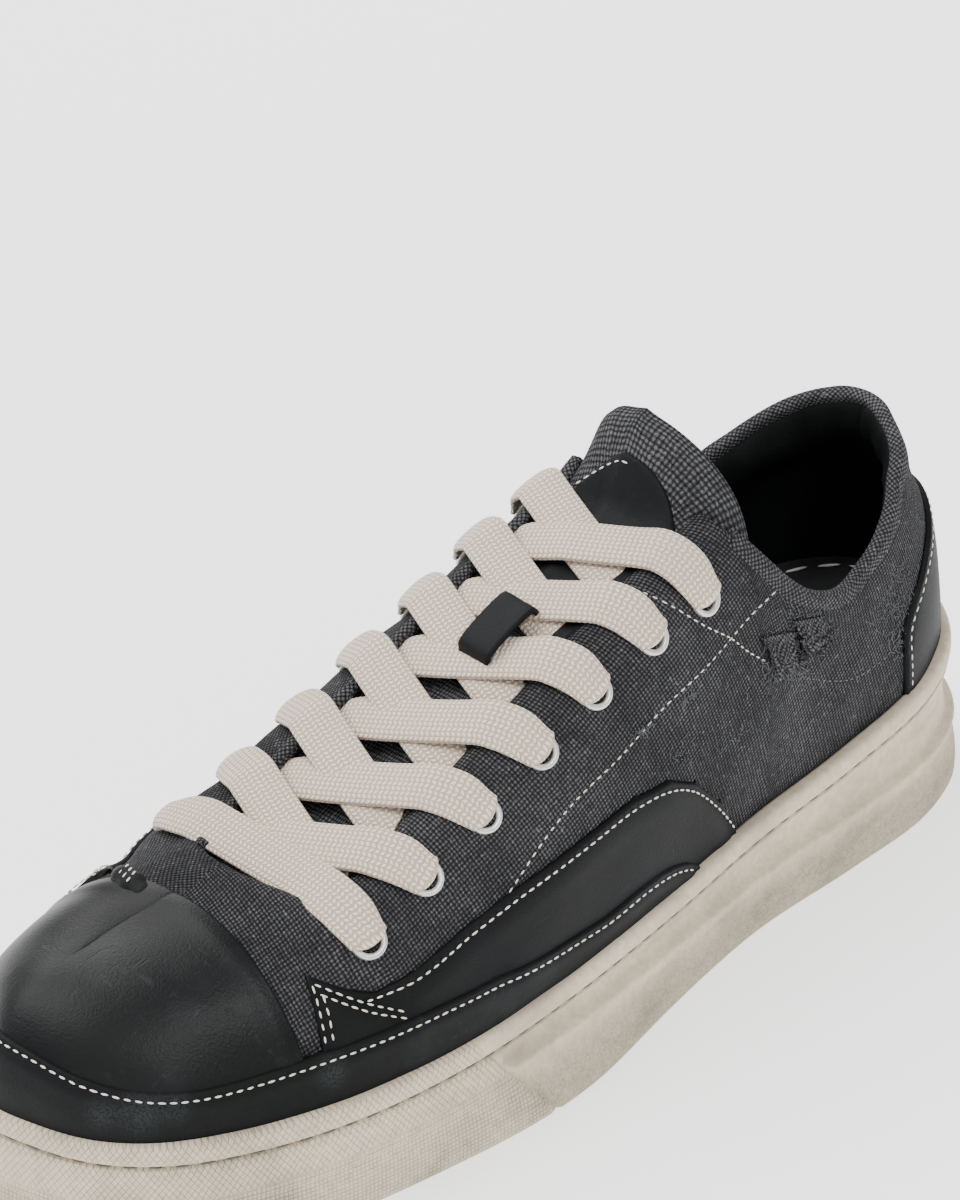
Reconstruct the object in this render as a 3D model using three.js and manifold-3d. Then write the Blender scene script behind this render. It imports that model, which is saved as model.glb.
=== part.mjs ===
// Worn low canvas sneaker, left foot, one shoe.
// Millimetres, +Z up, floor at z = 0. The toe points to -X and the lateral side faces -Y.
import * as THREE from 'three';
import { mergeVertices } from 'three/addons/utils/BufferGeometryUtils.js';
import Module from 'manifold-3d';

const wasm = await Module();
wasm.setup();

// Driving dimensions of the sole
const lateralRun = [
  [-150.5, 7], [-148.2, -8.5], [-142.5, -22], [-131.5, -33.5], [-114, -42.5], [-90, -49.2],
  [-60, -52], [-25, -50.3], [12, -46.2], [50, -41], [85, -39.2], [115, -36], [135, -27.5],
  [147, -14], [150.5, 0],
];
const medialRun = [
  [147, 14], [135, 27.5], [115, 35.8], [85, 38], [50, 37.5], [12, 41], [-25, 46.5],
  [-60, 51.2], [-85, 51.2], [-110, 46], [-130, 36], [-143, 22.5],
];
const toeX = -150.5;
const heelX = 150.5;
const soleTopTable = [[-152.5, 31.6], [-87.5, 28.9], [-22.5, 28.4], [62.5, 32], [147.5, 40.5]];
const cupFloorDepth = 11.5;
const cupWallInset = 4.3;
const rimInset = 1.2;
const grooveDepthBelowTop = 5.3;
const grooveHalf = 0.5;
const ridgeHeight = 17;
const seamX = -34;
const ballFlare = 4.6;
const heelFlare = 2.4;
const toeSpring = 3.2;
const treadDepth = 1.5;
const treadWidth = 2.4;

// Driving dimensions of the upper, worked out from length, ball width, instep and heel height
const featherInset = 4.6;
const featherDepth = 9;
const wall = 2.2;
const overlayGap = 0.3;
const overlayOut = 1.5;
const toePole = -118;
const heelPole = 98;
const spineHeight = [
  [-125, 54.5], [-108, 56.5], [-92, 60.5], [-73, 66.5], [-42, 80], [-2, 99], [33, 113.5],
  [58, 121], [100, 124],
];
const spineShift = [[-125, 6], [-108, 6], [-92, 2], [-73, 0], [100, 0]];
const sectionPower = [
  [-146, 2.9], [-120, 2.15], [-95, 1.95], [-73, 2], [-32, 2.35], [0, 2.9], [33, 3.5],
  [80, 3.3], [115, 2.5], [146, 2.05],
];
const topline = [
  [44, 112], [62, 89.5], [70, 81.5], [79, 76.8], [86, 75.3], [94, 77], [103, 81.5],
  [112, 87], [121, 93], [129, 98.5], [140, 101.5],
];
const throat = [
  [-80, -12], [-77, -19], [-71, -22.5], [48, -21], [48, 19],
  [-71, 19.5], [-77, 15], [-80, 8],
];

// Driving dimensions of the trims
const eyeletCount = 7;
const eyeletFirstX = -73;
const eyeletLastX = 37.5;
const lateralEyeletY = [-33.5, -30.8];
const medialEyeletY = [30, 26.5];
const eyeletRim = 4.5;
const eyeletBore = 2.3;
const eyeletBarrel = 2.75;
const eyeletLift = 0.5;
const eyeletFlange = 0.8;
const eyeletReach = 2.9;
const eyeletHole = 3.15;
const laceWidth = 10.5;
const laceThick = 2.3;
const tongueThick = 3;
const tongueStartX = -86;
const tongueRiseX = 34;
const tongueEndX = 52;
const tongueHalfFront = 22;
const tongueHalfTop = 27;
const tongueRise = 10.5;
const tongueSweep = 11;

const keeperY = -6;

const stations = 28;
const rows = 8;

// Smooth curve through a table of x and value
function along(table, x) {
  const last = table.length - 1;
  if (x <= table[0][0]) return table[0][1];
  if (x >= table[last][0]) return table[last][1];
  let i = 0;
  while (x > table[i + 1][0]) i += 1;
  const slope = (k) => {
    const a = Math.max(k - 1, 0);
    const b = Math.min(k + 1, last);
    return (table[b][1] - table[a][1]) / (table[b][0] - table[a][0]);
  };
  const span = table[i + 1][0] - table[i][0];
  const u = (x - table[i][0]) / span;
  const rise = u * u * (3 - 2 * u);
  const lead = u * (1 - u) * (1 - u) * span * slope(i);
  const tail = u * u * (u - 1) * span * slope(i + 1);
  return table[i][1] + (table[i + 1][1] - table[i][1]) * rise + lead + tail;
}

// The sole's outline as two runs from toe tip to heel tip
const outlineCurve = new THREE.CatmullRomCurve3(
  [...lateralRun, ...medialRun].map(([x, y]) => new THREE.Vector3(x, y, 0)),
  true,
  'centripetal',
);

function makeRun(from, to) {
  const steps = 320;
  const pointCount = lateralRun.length + medialRun.length;
  const points = [];
  for (let i = 0; i <= steps; i += 1) {
    const place = (from + ((to - from) * i) / steps) / pointCount;
    points.push(outlineCurve.getPoint(((place % 1) + 1) % 1));
  }
  const lengths = [0];
  for (let i = 1; i <= steps; i += 1) {
    lengths.push(lengths[i - 1] + points[i].distanceTo(points[i - 1]));
  }
  return { points, lengths, total: lengths[steps] };
}

const heelIndex = lateralRun.length - 1;
const runs = {
  lateral: makeRun(0, heelIndex),
  medial: makeRun(lateralRun.length + medialRun.length, heelIndex),
};

function outlineAt(side, t) {
  const run = runs[side];
  const goal = t * run.total;
  let i = 0;
  while (i < run.points.length - 2 && run.lengths[i + 1] < goal) i += 1;
  const share = (goal - run.lengths[i]) / (run.lengths[i + 1] - run.lengths[i]);
  return run.points[i].clone().lerp(run.points[i + 1], share);
}

// Outward normal of the outline; past an end the other side carries on
function outwardAt(side, t) {
  const step = 0.004;
  const other = side === 'lateral' ? 'medial' : 'lateral';
  const back = t < step ? outlineAt(other, step - t) : outlineAt(side, t - step);
  const ahead = t > 1 - step ? outlineAt(other, 2 - t - step) : outlineAt(side, t + step);
  const way = ahead.sub(back).normalize();
  if (side === 'lateral') return new THREE.Vector3(way.y, -way.x, 0);
  return new THREE.Vector3(-way.y, way.x, 0);
}

function soleTop(x) {
  return along(soleTopTable, x);
}

// A point of the last's skin: t runs from toe to heel, phi from feather line to spine
function lastPoint(side, t, phi) {
  const edge = outlineAt(side, t);
  const feather = edge.clone().addScaledVector(outwardAt(side, t), -featherInset);
  const middle = (outlineAt('lateral', t).x + outlineAt('medial', t).x) / 2;
  const share = (middle - toeX) / (heelX - toeX);
  const spineX = toePole + share * (heelPole - toePole);
  const spine = new THREE.Vector3(spineX, along(spineShift, spineX), along(spineHeight, spineX));
  const power = along(sectionPower, middle);
  const spread = Math.max(Math.cos(phi), 0) ** (2 / power);
  const rise = Math.sin(phi) ** (2 / power);
  const base = soleTop(edge.x) - featherDepth;
  return new THREE.Vector3(
    spine.x + (feather.x - spine.x) * spread,
    spine.y + (feather.y - spine.y) * spread,
    base + (spine.z - base) * rise,
  );
}

function lastNormal(side, t, phi) {
  const step = 0.01;
  const low = Math.max(phi - step, 0.002);
  const high = Math.min(phi + step, Math.PI / 2);
  if (phi > Math.PI / 2 - step) {
    const a = lastPoint('lateral', Math.max(t - step, 0), Math.PI / 2);
    const b = lastPoint('lateral', Math.min(t + step, 1), Math.PI / 2);
    const way = b.sub(a).normalize();
    return new THREE.Vector3(-way.z, 0, way.x).normalize();
  }
  const other = side === 'lateral' ? 'medial' : 'lateral';
  const back = t < step ? lastPoint(other, step - t, phi) : lastPoint(side, t - step, phi);
  const ahead = t > 1 - step ? lastPoint(other, 2 - t - step, phi) : lastPoint(side, t + step, phi);
  const round = ahead.sub(back);
  const up = lastPoint(side, t, high).sub(lastPoint(side, t, low));
  const normal = round.cross(up).normalize();
  if (side === 'lateral') return normal;
  return normal.negate();
}

function skinPoint(side, t, phi, offset) {
  return lastPoint(side, t, phi).addScaledVector(lastNormal(side, t, phi), offset);
}

// The place on the skin above a point of the plan
function skinAbove(x, y, offset) {
  const shift = along(spineShift, x);
  const side = y < shift ? 'lateral' : 'medial';
  const reach = Math.abs(y - shift);
  let lowPhi = 0.02;
  let highPhi = Math.PI / 2;
  let t = 0.5;
  let phi = 0;
  for (let i = 0; i < 26; i += 1) {
    phi = (lowPhi + highPhi) / 2;
    let lowT = 0;
    let highT = 1;
    for (let k = 0; k < 26; k += 1) {
      t = (lowT + highT) / 2;
      if (lastPoint(side, t, phi).x < x) lowT = t;
      else highT = t;
    }
    if (Math.abs(lastPoint(side, t, phi).y - shift) > reach) lowPhi = phi;
    else highPhi = phi;
  }
  const normal = lastNormal(side, t, phi);
  return { point: lastPoint(side, t, phi).addScaledVector(normal, offset), normal };
}

// Closed mesh from rings of points; each ring holds the lateral run and then the medial run back
function geometryFrom(vertices, faces) {
  const geometry = new THREE.BufferGeometry();
  geometry.setAttribute('position', new THREE.Float32BufferAttribute(vertices.flatMap((v) => [v.x, v.y, v.z]), 3));
  geometry.setIndex(faces);
  return geometry;
}

function ringOf(place) {
  const ring = [];
  for (let i = 0; i <= stations; i += 1) ring.push(place('lateral', i / stations));
  for (let i = stations - 1; i >= 1; i -= 1) ring.push(place('medial', i / stations));
  return ring;
}

const ringSize = 2 * stations;

function joinRings(faces, lower, upper) {
  for (let i = 0; i < ringSize; i += 1) {
    const next = (i + 1) % ringSize;
    faces.push(lower + i, lower + next, upper + next);
    faces.push(lower + i, upper + next, upper + i);
  }
}

// Lid between the lateral and the medial points of one ring
function lidRing(faces, start, faceUp) {
  for (let i = 0; i < stations; i += 1) {
    const a = start + i;
    const b = start + i + 1;
    const c = start + ((ringSize - i - 1) % ringSize);
    const d = start + ((ringSize - i) % ringSize);
    const corners = [];
    if (b !== c) corners.push([a, b, c]);
    if (a !== d) corners.push([a, c, d]);
    corners.forEach(([p, q, r]) => faces.push(...(faceUp ? [p, q, r] : [p, r, q])));
  }
}

function ringSolid(rings, closedTop) {
  const vertices = rings.flat();
  const faces = [];
  for (let k = 0; k + 1 < rings.length; k += 1) joinRings(faces, k * ringSize, (k + 1) * ringSize);
  lidRing(faces, 0, false);
  if (closedTop) lidRing(faces, (rings.length - 1) * ringSize, true);
  return geometryFrom(vertices, faces);
}

// The last's skin moved out or in by an offset, with a straight skirt below the feather line
function lastForm(offset, skirtDepth) {
  const rings = [];
  rings.push(ringOf((side, t) => {
    const point = skinPoint(side, t, 0.03, offset);
    point.z = soleTop(outlineAt(side, t).x) - skirtDepth;
    return point;
  }));
  for (let j = 0; j < rows; j += 1) {
    const phi = 0.06 + ((Math.PI / 2 - 0.06) * j) / rows;
    rings.push(ringOf((side, t) => skinPoint(side, t, phi, offset)));
  }
  const vertices = rings.flat();
  const faces = [];
  for (let k = 0; k + 1 < rings.length; k += 1) joinRings(faces, k * ringSize, (k + 1) * ringSize);
  lidRing(faces, 0, false);
  const spineStart = vertices.length;
  for (let i = 0; i <= stations; i += 1) {
    vertices.push(skinPoint('lateral', i / stations, Math.PI / 2, offset));
  }
  const top = (rings.length - 1) * ringSize;
  const spineIndex = (i) => spineStart + (i <= stations ? i : ringSize - i);
  for (let i = 0; i < ringSize; i += 1) {
    const next = (i + 1) % ringSize;
    faces.push(top + i, top + next, spineIndex(next));
    faces.push(top + i, spineIndex(next), spineIndex(i));
  }
  return geometryFrom(vertices, faces);
}

// Boolean helpers
function solidOf(geometry) {
  const bare = geometry.clone();
  bare.deleteAttribute('normal');
  bare.deleteAttribute('uv');
  const merged = mergeVertices(bare, 1e-4);
  const mesh = new wasm.Mesh({
    numProp: 3,
    vertProperties: new Float32Array(merged.attributes.position.array),
    triVerts: new Uint32Array(merged.index.array),
  });
  return new wasm.Manifold(mesh);
}

function geometryOf(solid) {
  const mesh = solid.getMesh();
  const geometry = new THREE.BufferGeometry();
  geometry.setAttribute('position', new THREE.BufferAttribute(new Float32Array(mesh.vertProperties), 3));
  geometry.setIndex(new THREE.BufferAttribute(new Uint32Array(mesh.triVerts), 1));
  return geometry;
}

// Keeps the outer skin of a joined solid and fills the small pockets shut inside it
function withoutPockets(solid) {
  const mesh = solid.getMesh();
  const group = Array.from({ length: mesh.numVert }, (unused, i) => i);
  const rootOf = (i) => {
    let root = i;
    while (group[root] !== root) root = group[root];
    group[i] = root;
    return root;
  };
  const corners = Array.from({ length: mesh.numTri }, (unused, i) => mesh.triVerts.slice(3 * i, 3 * i + 3));
  corners.forEach(([a, b, c]) => {
    group[rootOf(a)] = rootOf(b);
    group[rootOf(b)] = rootOf(c);
  });
  const vertex = (i) => new THREE.Vector3().fromArray(mesh.vertProperties, i * mesh.numProp);
  const volumes = new Map();
  corners.forEach(([a, b, c]) => {
    const part = vertex(a).dot(vertex(b).cross(vertex(c)));
    volumes.set(rootOf(a), (volumes.get(rootOf(a)) ?? 0) + part);
  });
  const isOuter = ([a]) => volumes.get(rootOf(a)) > 0;
  const triVerts = new Uint32Array(corners.filter(isOuter).flatMap((triangle) => [...triangle]));
  return new wasm.Manifold(new wasm.Mesh({ numProp: 3, vertProperties: mesh.vertProperties, triVerts }));
}

function outlineShape(points) {
  return new THREE.Shape(points.map(([x, y]) => new THREE.Vector2(x, y)));
}

// Side view outline, x and z, pushed through along Y
function sidePrism(points, yLow, yHigh) {
  const geometry = new THREE.ExtrudeGeometry(outlineShape(points), { depth: yHigh - yLow, bevelEnabled: false });
  geometry.rotateX(Math.PI / 2);
  geometry.translate(0, yHigh, 0);
  return solidOf(geometry);
}

// Plan outline, x and y, pushed up along Z
function planPrism(points, zLow, zHigh) {
  const geometry = new THREE.ExtrudeGeometry(outlineShape(points), { depth: zHigh - zLow, bevelEnabled: false });
  geometry.translate(0, 0, zLow);
  return solidOf(geometry);
}

// Cup sole
function soleFlare(side, x) {
  const bulge = side === 'lateral' ? ballFlare : ballFlare * 0.4;
  const ball = bulge * Math.exp(-(((x + 28) / 34) ** 2));
  const heel = heelFlare * THREE.MathUtils.smoothstep(x, 40, 140);
  return 0.5 + ball + heel;
}

function springAt(x) {
  const toe = Math.max(0, (-108 - x) / 42);
  const heel = Math.max(0, (x - 130) / 20);
  return toeSpring * toe * toe + 0.8 * heel * heel;
}

function soleRing(insetOf, heightOf) {
  return ringOf((side, t) => {
    const edge = outlineAt(side, t);
    const inset = insetOf(edge.x, side);
    const point = edge.clone().addScaledVector(outwardAt(side, t), -inset);
    point.z = heightOf(edge.x);
    return point;
  });
}

function makeSole() {
  const below = (depth) => (x) => soleTop(x) - depth;
  const fixed = (inset) => () => inset;
  const rearPart = (x) => THREE.MathUtils.smoothstep(x, seamX - 3, seamX + 3);
  const groove = grooveDepthBelowTop;
  const rings = [
    soleRing((x, s) => 2 - soleFlare(s, x), (x) => springAt(x)),
    soleRing((x, s) => 0.6 - soleFlare(s, x), (x) => 1.6 + springAt(x)),
    soleRing((x, s) => -0.75 * soleFlare(s, x), (x) => 6 + springAt(x)),
    soleRing((x, s) => -0.35 * soleFlare(s, x) - 0.2, () => ridgeHeight - 4),
    soleRing((x) => 0.1 - 0.6 * rearPart(x), () => ridgeHeight - 0.8),
    soleRing((x) => 0.25 - 0.2 * rearPart(x), () => ridgeHeight),
    soleRing((x) => 0.35 + 0.65 * rearPart(x), () => ridgeHeight + 1.2),
    soleRing(fixed(0.8), below(groove + grooveHalf + 0.5)),
    soleRing(fixed(1.7), below(groove + grooveHalf)),
    soleRing(fixed(1.7), below(groove - grooveHalf)),
    soleRing(fixed(0.6), below(groove - grooveHalf - 0.5)),
    soleRing(fixed(0.7), below(1)),
    soleRing(fixed(rimInset), below(0)),
    soleRing(fixed(cupWallInset), below(0)),
    soleRing(fixed(cupWallInset), below(cupFloorDepth)),
  ];
  return solidOf(ringSolid(rings, true)).subtract(makeTread());
}

// Shallow flex grooves across the tread
function makeTread() {
  const places = [-104, -88, -72, -56, -40, 64, 80, 96, 112];
  const bars = places.map((x) => {
    const bar = new THREE.BoxGeometry(treadWidth, 140, treadDepth * 2);
    bar.translate(x, 0, 0);
    return solidOf(bar);
  });
  return bars.reduce((sum, bar) => sum.add(bar));
}

// Removable footbed in the cup
function makeInsole() {
  const inset = 7.4;
  const thick = 5;
  const floorAt = (x) => soleTop(x) - cupFloorDepth + 0.3;
  const rings = [
    soleRing(() => inset, floorAt),
    soleRing(() => inset, (x) => floorAt(x) + thick - 0.8),
    soleRing(() => inset + 0.9, (x) => floorAt(x) + thick),
  ];
  return solidOf(ringSolid(rings, true));
}

// Eyelet places on both sides
function eyeletPlace(side, index) {
  const share = index / (eyeletCount - 1);
  const x = eyeletFirstX + (eyeletLastX - eyeletFirstX) * share;
  const ends = side === 'lateral' ? lateralEyeletY : medialEyeletY;
  return [x, ends[0] + (ends[1] - ends[0]) * share];
}

function aimed(geometry, place) {
  const turn = new THREE.Quaternion().setFromUnitVectors(new THREE.Vector3(0, 1, 0), place.normal);
  geometry.applyQuaternion(turn);
  geometry.translate(place.point.x, place.point.y, place.point.z);
  return geometry;
}

function eyeletHoleCutter(side, index) {
  const [x, y] = eyeletPlace(side, index);
  return solidOf(aimed(new THREE.CylinderGeometry(eyeletHole, eyeletHole, 12, 9), skinAbove(x, y, 0)));
}

function makeEyelet(side, index) {
  const [x, y] = eyeletPlace(side, index);
  const profile = [
    [eyeletBore, -eyeletReach], [eyeletBarrel, -eyeletReach], [eyeletBarrel, eyeletLift],
    [eyeletRim, eyeletLift], [eyeletRim - 0.4, eyeletLift + eyeletFlange],
    [eyeletBore, eyeletLift + eyeletFlange], [eyeletBore, -eyeletReach],
  ];
  const lathe = new THREE.LatheGeometry(profile.map(([r, h]) => new THREE.Vector2(r, h)), 10);
  return solidOf(aimed(lathe, skinAbove(x, y, 0)));
}

// Upper: one hollow wall, open underneath, at the throat and at the collar
const collarTop = 160;
const collarCut = [[topline[0][0], collarTop], ...topline, [200, 103], [200, collarTop]];

function makeUpper() {
  let upper = solidOf(lastForm(0, cupFloorDepth - 0.3));
  upper = upper.subtract(solidOf(lastForm(-wall, cupFloorDepth + 6)));
  upper = upper.subtract(sidePrism(collarCut, -80, 80));
  upper = upper.subtract(planPrism(throat, 40, collarTop));
  ['lateral', 'medial'].forEach((side) => {
    for (let i = 0; i < eyeletCount; i += 1) upper = upper.subtract(eyeletHoleCutter(side, i));
  });
  return upper;
}

// Overlays: cut between two larger forms of the same last
const overlayShell = solidOf(lastForm(overlayOut, cupFloorDepth)).subtract(solidOf(lastForm(overlayGap, cupFloorDepth + 6)));
const guardTop = [
  [-152, 47.5], [-143, 47], [-138, 43.5], [-130, 40.5], [-118, 39], [-95, 39], [-60, 39],
  [-36, 37.5], [-12, 36.2], [3, 37], [14, 36.2], [21, 34], [25.5, 31.2],
];
const capRearX = -96.5;

function rimLine(from, to, lift) {
  const points = [];
  const count = 14;
  for (let i = 0; i <= count; i += 1) {
    const x = from + ((to - from) * i) / count;
    points.push([x, soleTop(x) + lift]);
  }
  return points;
}

function makeMudguard() {
  const under = rimLine(-153, 25.2, 0.35);
  const outline = [...under, ...guardLine(-153, 25.5, 0).reverse()];
  return overlayShell.intersect(sidePrism(outline, -80, 80));
}

function guardLine(from, to, lift) {
  const points = [];
  const count = 22;
  for (let i = 0; i <= count; i += 1) {
    const x = from + ((to - from) * i) / count;
    points.push([x, along(guardTop, x) + lift]);
  }
  return points;
}

function makeToeCap() {
  const outline = [...guardLine(-152, capRearX, 0.35), [capRearX, 90], [-152, 90]];
  return overlayShell.intersect(sidePrism(outline, -80, 80));
}

// Side overlay: the long leather panel behind the toe cap, with its pointed front
function makeSideOverlay(side) {
  const back = side === 'lateral' ? 43 : 33;
  const top = side === 'lateral'
    ? [[-93, 42], [-89, 53], [-82, 48.6], [-76, 46.2], [-66, 47.6], [-52, 51], [-40, 53.6], [-14, 57.6],
      [4, 59.4], [16, 58.2], [26, 52.6], [36, 42], [back, 32]]
    : [[-96.1, 42], [-94, 54.5], [-87, 49], [-79, 46.6], [-65, 49.2], [-44, 53], [-26, 56], [-8, 58.4],
      [8, 57.4], [20, 50], [28, 40], [back, 31]];
  const outline = [
    ...guardLine(top[0][0], 25.5, 0.5), [27, soleTop(27) + 0.35], [back, soleTop(back) + 0.35],
    ...top.slice(1).reverse(), top[0],
  ];
  const [low, high] = side === 'lateral' ? [-80, -2] : [2, 80];
  return overlayShell.intersect(sidePrism(outline, low, high));
}

function makeHeelCounter() {
  const outline = [
    [109, soleTop(109) + 0.5], [109.4, 52], [115.6, 62.2], [123, 68.5], [131, 73.5], [137, 76], [160, 77],
    [160, soleTop(147.5) + 0.5], [147, soleTop(147) + 0.5], [138, soleTop(138) + 0.5], [130, soleTop(130) + 0.5],
    [120, soleTop(120) + 0.5],
  ];
  return overlayShell.intersect(sidePrism(outline, -80, 80));
}

// Tongue: a padded sheet that follows the inside of the throat and arches up behind the laces
function tongueSurface(share, across, depth) {
  const x = tongueStartX + (tongueEndX - tongueStartX) * share;
  const ramp = THREE.MathUtils.smoothstep(x, tongueRiseX, tongueEndX);
  const spread = Math.abs(across) ** 2;
  const y = across * (tongueHalfFront + (tongueHalfTop - tongueHalfFront) * share);
  const lift = tongueRise * ramp * (1 - 1.75 * spread);
  return skinAbove(x + tongueSweep * ramp * spread, y, lift - wall - 0.7 - depth).point;
}

function gridSolid(columns, lines, outer, inner) {
  const vertices = [];
  const faces = [];
  const size = (columns + 1) * (lines + 1);
  [outer, inner].forEach((place) => {
    for (let i = 0; i <= columns; i += 1) {
      for (let j = 0; j <= lines; j += 1) vertices.push(place(i / columns, -1 + (2 * j) / lines));
    }
  });
  const at = (i, j) => i * (lines + 1) + j;
  for (let i = 0; i < columns; i += 1) {
    for (let j = 0; j < lines; j += 1) {
      const quad = [at(i, j), at(i + 1, j), at(i + 1, j + 1), at(i, j + 1)];
      faces.push(quad[0], quad[1], quad[2], quad[0], quad[2], quad[3]);
      const low = quad.map((k) => k + size);
      faces.push(low[0], low[2], low[1], low[0], low[3], low[2]);
    }
  }
  const border = [];
  for (let i = 0; i < columns; i += 1) border.push(at(i, 0));
  for (let j = 0; j < lines; j += 1) border.push(at(columns, j));
  for (let i = columns; i > 0; i -= 1) border.push(at(i, lines));
  for (let j = lines; j > 0; j -= 1) border.push(at(0, j));
  border.forEach((a, k) => {
    const b = border[(k + 1) % border.length];
    faces.push(a, a + size, b + size, a, b + size, b);
  });
  return solidOf(geometryFrom(vertices, faces));
}

function makeTongue() {
  return gridSolid(
    15,
    8,
    (share, across) => tongueSurface(share, across, 0),
    (share, across) => tongueSurface(share, across, tongueThick),
  );
}

// Lace: flat strands over the throat, each pair crossing in the middle
function strand(route) {
  const steps = route.length;
  const centres = route.map(([x, y, lift]) => {
    const { point, normal } = skinAbove(x, y, lift);
    return { point, normal };
  });
  const vertices = [];
  for (let i = 0; i < steps; i += 1) {
    const back = centres[Math.max(i - 1, 0)].point;
    const ahead = centres[Math.min(i + 1, steps - 1)].point;
    const way = ahead.clone().sub(back).normalize();
    const { normal, point } = centres[i];
    const across = normal.clone().cross(way).normalize().multiplyScalar(laceWidth / 2);
    const up = way.clone().cross(across).normalize().multiplyScalar(laceThick);
    vertices.push(point.clone().sub(across), point.clone().add(across));
    vertices.push(point.clone().add(across).add(up), point.clone().sub(across).add(up));
  }
  const faces = [];
  for (let i = 0; i + 1 < steps; i += 1) {
    for (let k = 0; k < 4; k += 1) {
      const a = i * 4 + k;
      const b = i * 4 + ((k + 1) % 4);
      faces.push(a, b + 4, a + 4, a, b, b + 4);
    }
  }
  faces.push(0, 2, 1, 0, 3, 2);
  const end = (steps - 1) * 4;
  faces.push(end, end + 1, end + 2, end, end + 2, end + 3);
  return solidOf(geometryFrom(vertices, faces));
}

const laceRest = eyeletLift + eyeletFlange + 0.5;

function blendRoute(start, finish, lifts) {
  return lifts.map(([share, lift]) => [
    start[0] + (finish[0] - start[0]) * share,
    start[1] + (finish[1] - start[1]) * share,
    lift,
  ]);
}

function makeLace() {
  const strands = [];
  strands.push(strand(blendRoute(eyeletPlace('lateral', 0), eyeletPlace('medial', 0), [
    [0, laceRest], [0.1, laceRest], [0.3, 1], [0.5, 0.9], [0.7, 1], [0.9, laceRest], [1, laceRest],
  ])));
  for (let k = 1; k < eyeletCount; k += 1) {
    const halfStep = (eyeletLastX - eyeletFirstX) / (eyeletCount - 1) / 2;
    const [lx, ly] = eyeletPlace('lateral', k);
    const [mx, my] = eyeletPlace('medial', k);
    const underLateral = [lx - halfStep * 1.15, throat[2][1] + 3];
    const underMedial = [mx - halfStep * 1.15, throat[5][1] - 3];
    strands.push(strand(blendRoute(underLateral, [mx, my], [
      [0, -2], [0.2, -1.9], [0.45, -0.9], [0.65, 0], [0.8, 0.7], [0.885, laceRest], [1, laceRest],
    ])));
    strands.push(strand(blendRoute(underMedial, [lx, ly], [
      [0, -1.8], [0.15, -1.5], [0.32, 0.6], [0.5, 1.3], [0.68, 1], [0.8, 1.7], [0.885, laceRest + 0.6],
      [0.95, laceRest + 0.2], [1, laceRest],
    ])));
  }
  return withoutPockets(strands.reduce((sum, piece) => sum.add(piece)));
}

// Leather keeper on the tongue that the lace runs through
function makeKeeper() {
  const halfWidth = 5;
  const lifts = [
    [-16.6, -2.1], [-14.6, -2.1], [-14, 3.2], [-12.5, 4.5], [-6, 4.8], [0.6, 4.5], [2.1, 3.2],
    [2.7, -2.1], [4.5, -2.1],
  ];
  const place = (share, across, depth) => {
    const index = Math.round(share * (lifts.length - 1));
    const [x, lift] = lifts[index];
    return skinAbove(x, keeperY + halfWidth * across, lift + depth).point;
  };
  return gridSolid(lifts.length - 1, 2, (s, a) => place(s, a, 0.4), (s, a) => place(s, a, -0.4));
}

// Scene graph
const finishes = {
  canvas: { color: 0x3d4043, roughness: 0.95, metalness: 0 },
  leather: { color: 0x232528, roughness: 0.5, metalness: 0 },
  rubber: { color: 0xc8beac, roughness: 0.75, metalness: 0 },
  lining: { color: 0x141416, roughness: 0.85, metalness: 0 },
  cotton: { color: 0xe4d6c8, roughness: 0.9, metalness: 0 },
  metal: { color: 0xe9e9e6, roughness: 0.35, metalness: 0.6 },
};

const shoe = new THREE.Group();

function addPiece(name, finish, solid) {
  const mesh = new THREE.Mesh(geometryOf(solid), new THREE.MeshStandardMaterial(finishes[finish]));
  mesh.name = name;
  shoe.add(mesh);
}

addPiece('sole', 'rubber', makeSole());
addPiece('insole', 'lining', makeInsole());
addPiece('upper', 'canvas', makeUpper());
addPiece('tongue', 'canvas', makeTongue());
addPiece('toe_cap', 'leather', makeToeCap());
addPiece('mudguard', 'leather', makeMudguard());
addPiece('side_overlay_lateral', 'leather', makeSideOverlay('lateral'));
addPiece('side_overlay_medial', 'leather', makeSideOverlay('medial'));
addPiece('heel_counter', 'leather', makeHeelCounter());
makeLace().decompose().forEach((crossing, i) => addPiece(`lace_crossing_${i + 1}`, 'cotton', crossing));
addPiece('lace_keeper', 'leather', makeKeeper());
['lateral', 'medial'].forEach((side) => {
  for (let i = 0; i < eyeletCount; i += 1) {
    addPiece(`eyelet_${side}_${i + 1}`, 'metal', makeEyelet(side, i));
  }
});

// The origin is under the middle of the sole
const soleBox = new THREE.Box3().setFromObject(shoe.children[0]);
const middle = soleBox.getCenter(new THREE.Vector3());
shoe.position.set(-middle.x, -middle.y, 0);

export default shoe;
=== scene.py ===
import math
import random

import bmesh
import bpy
import numpy as np
from mathutils import Matrix, Vector


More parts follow.
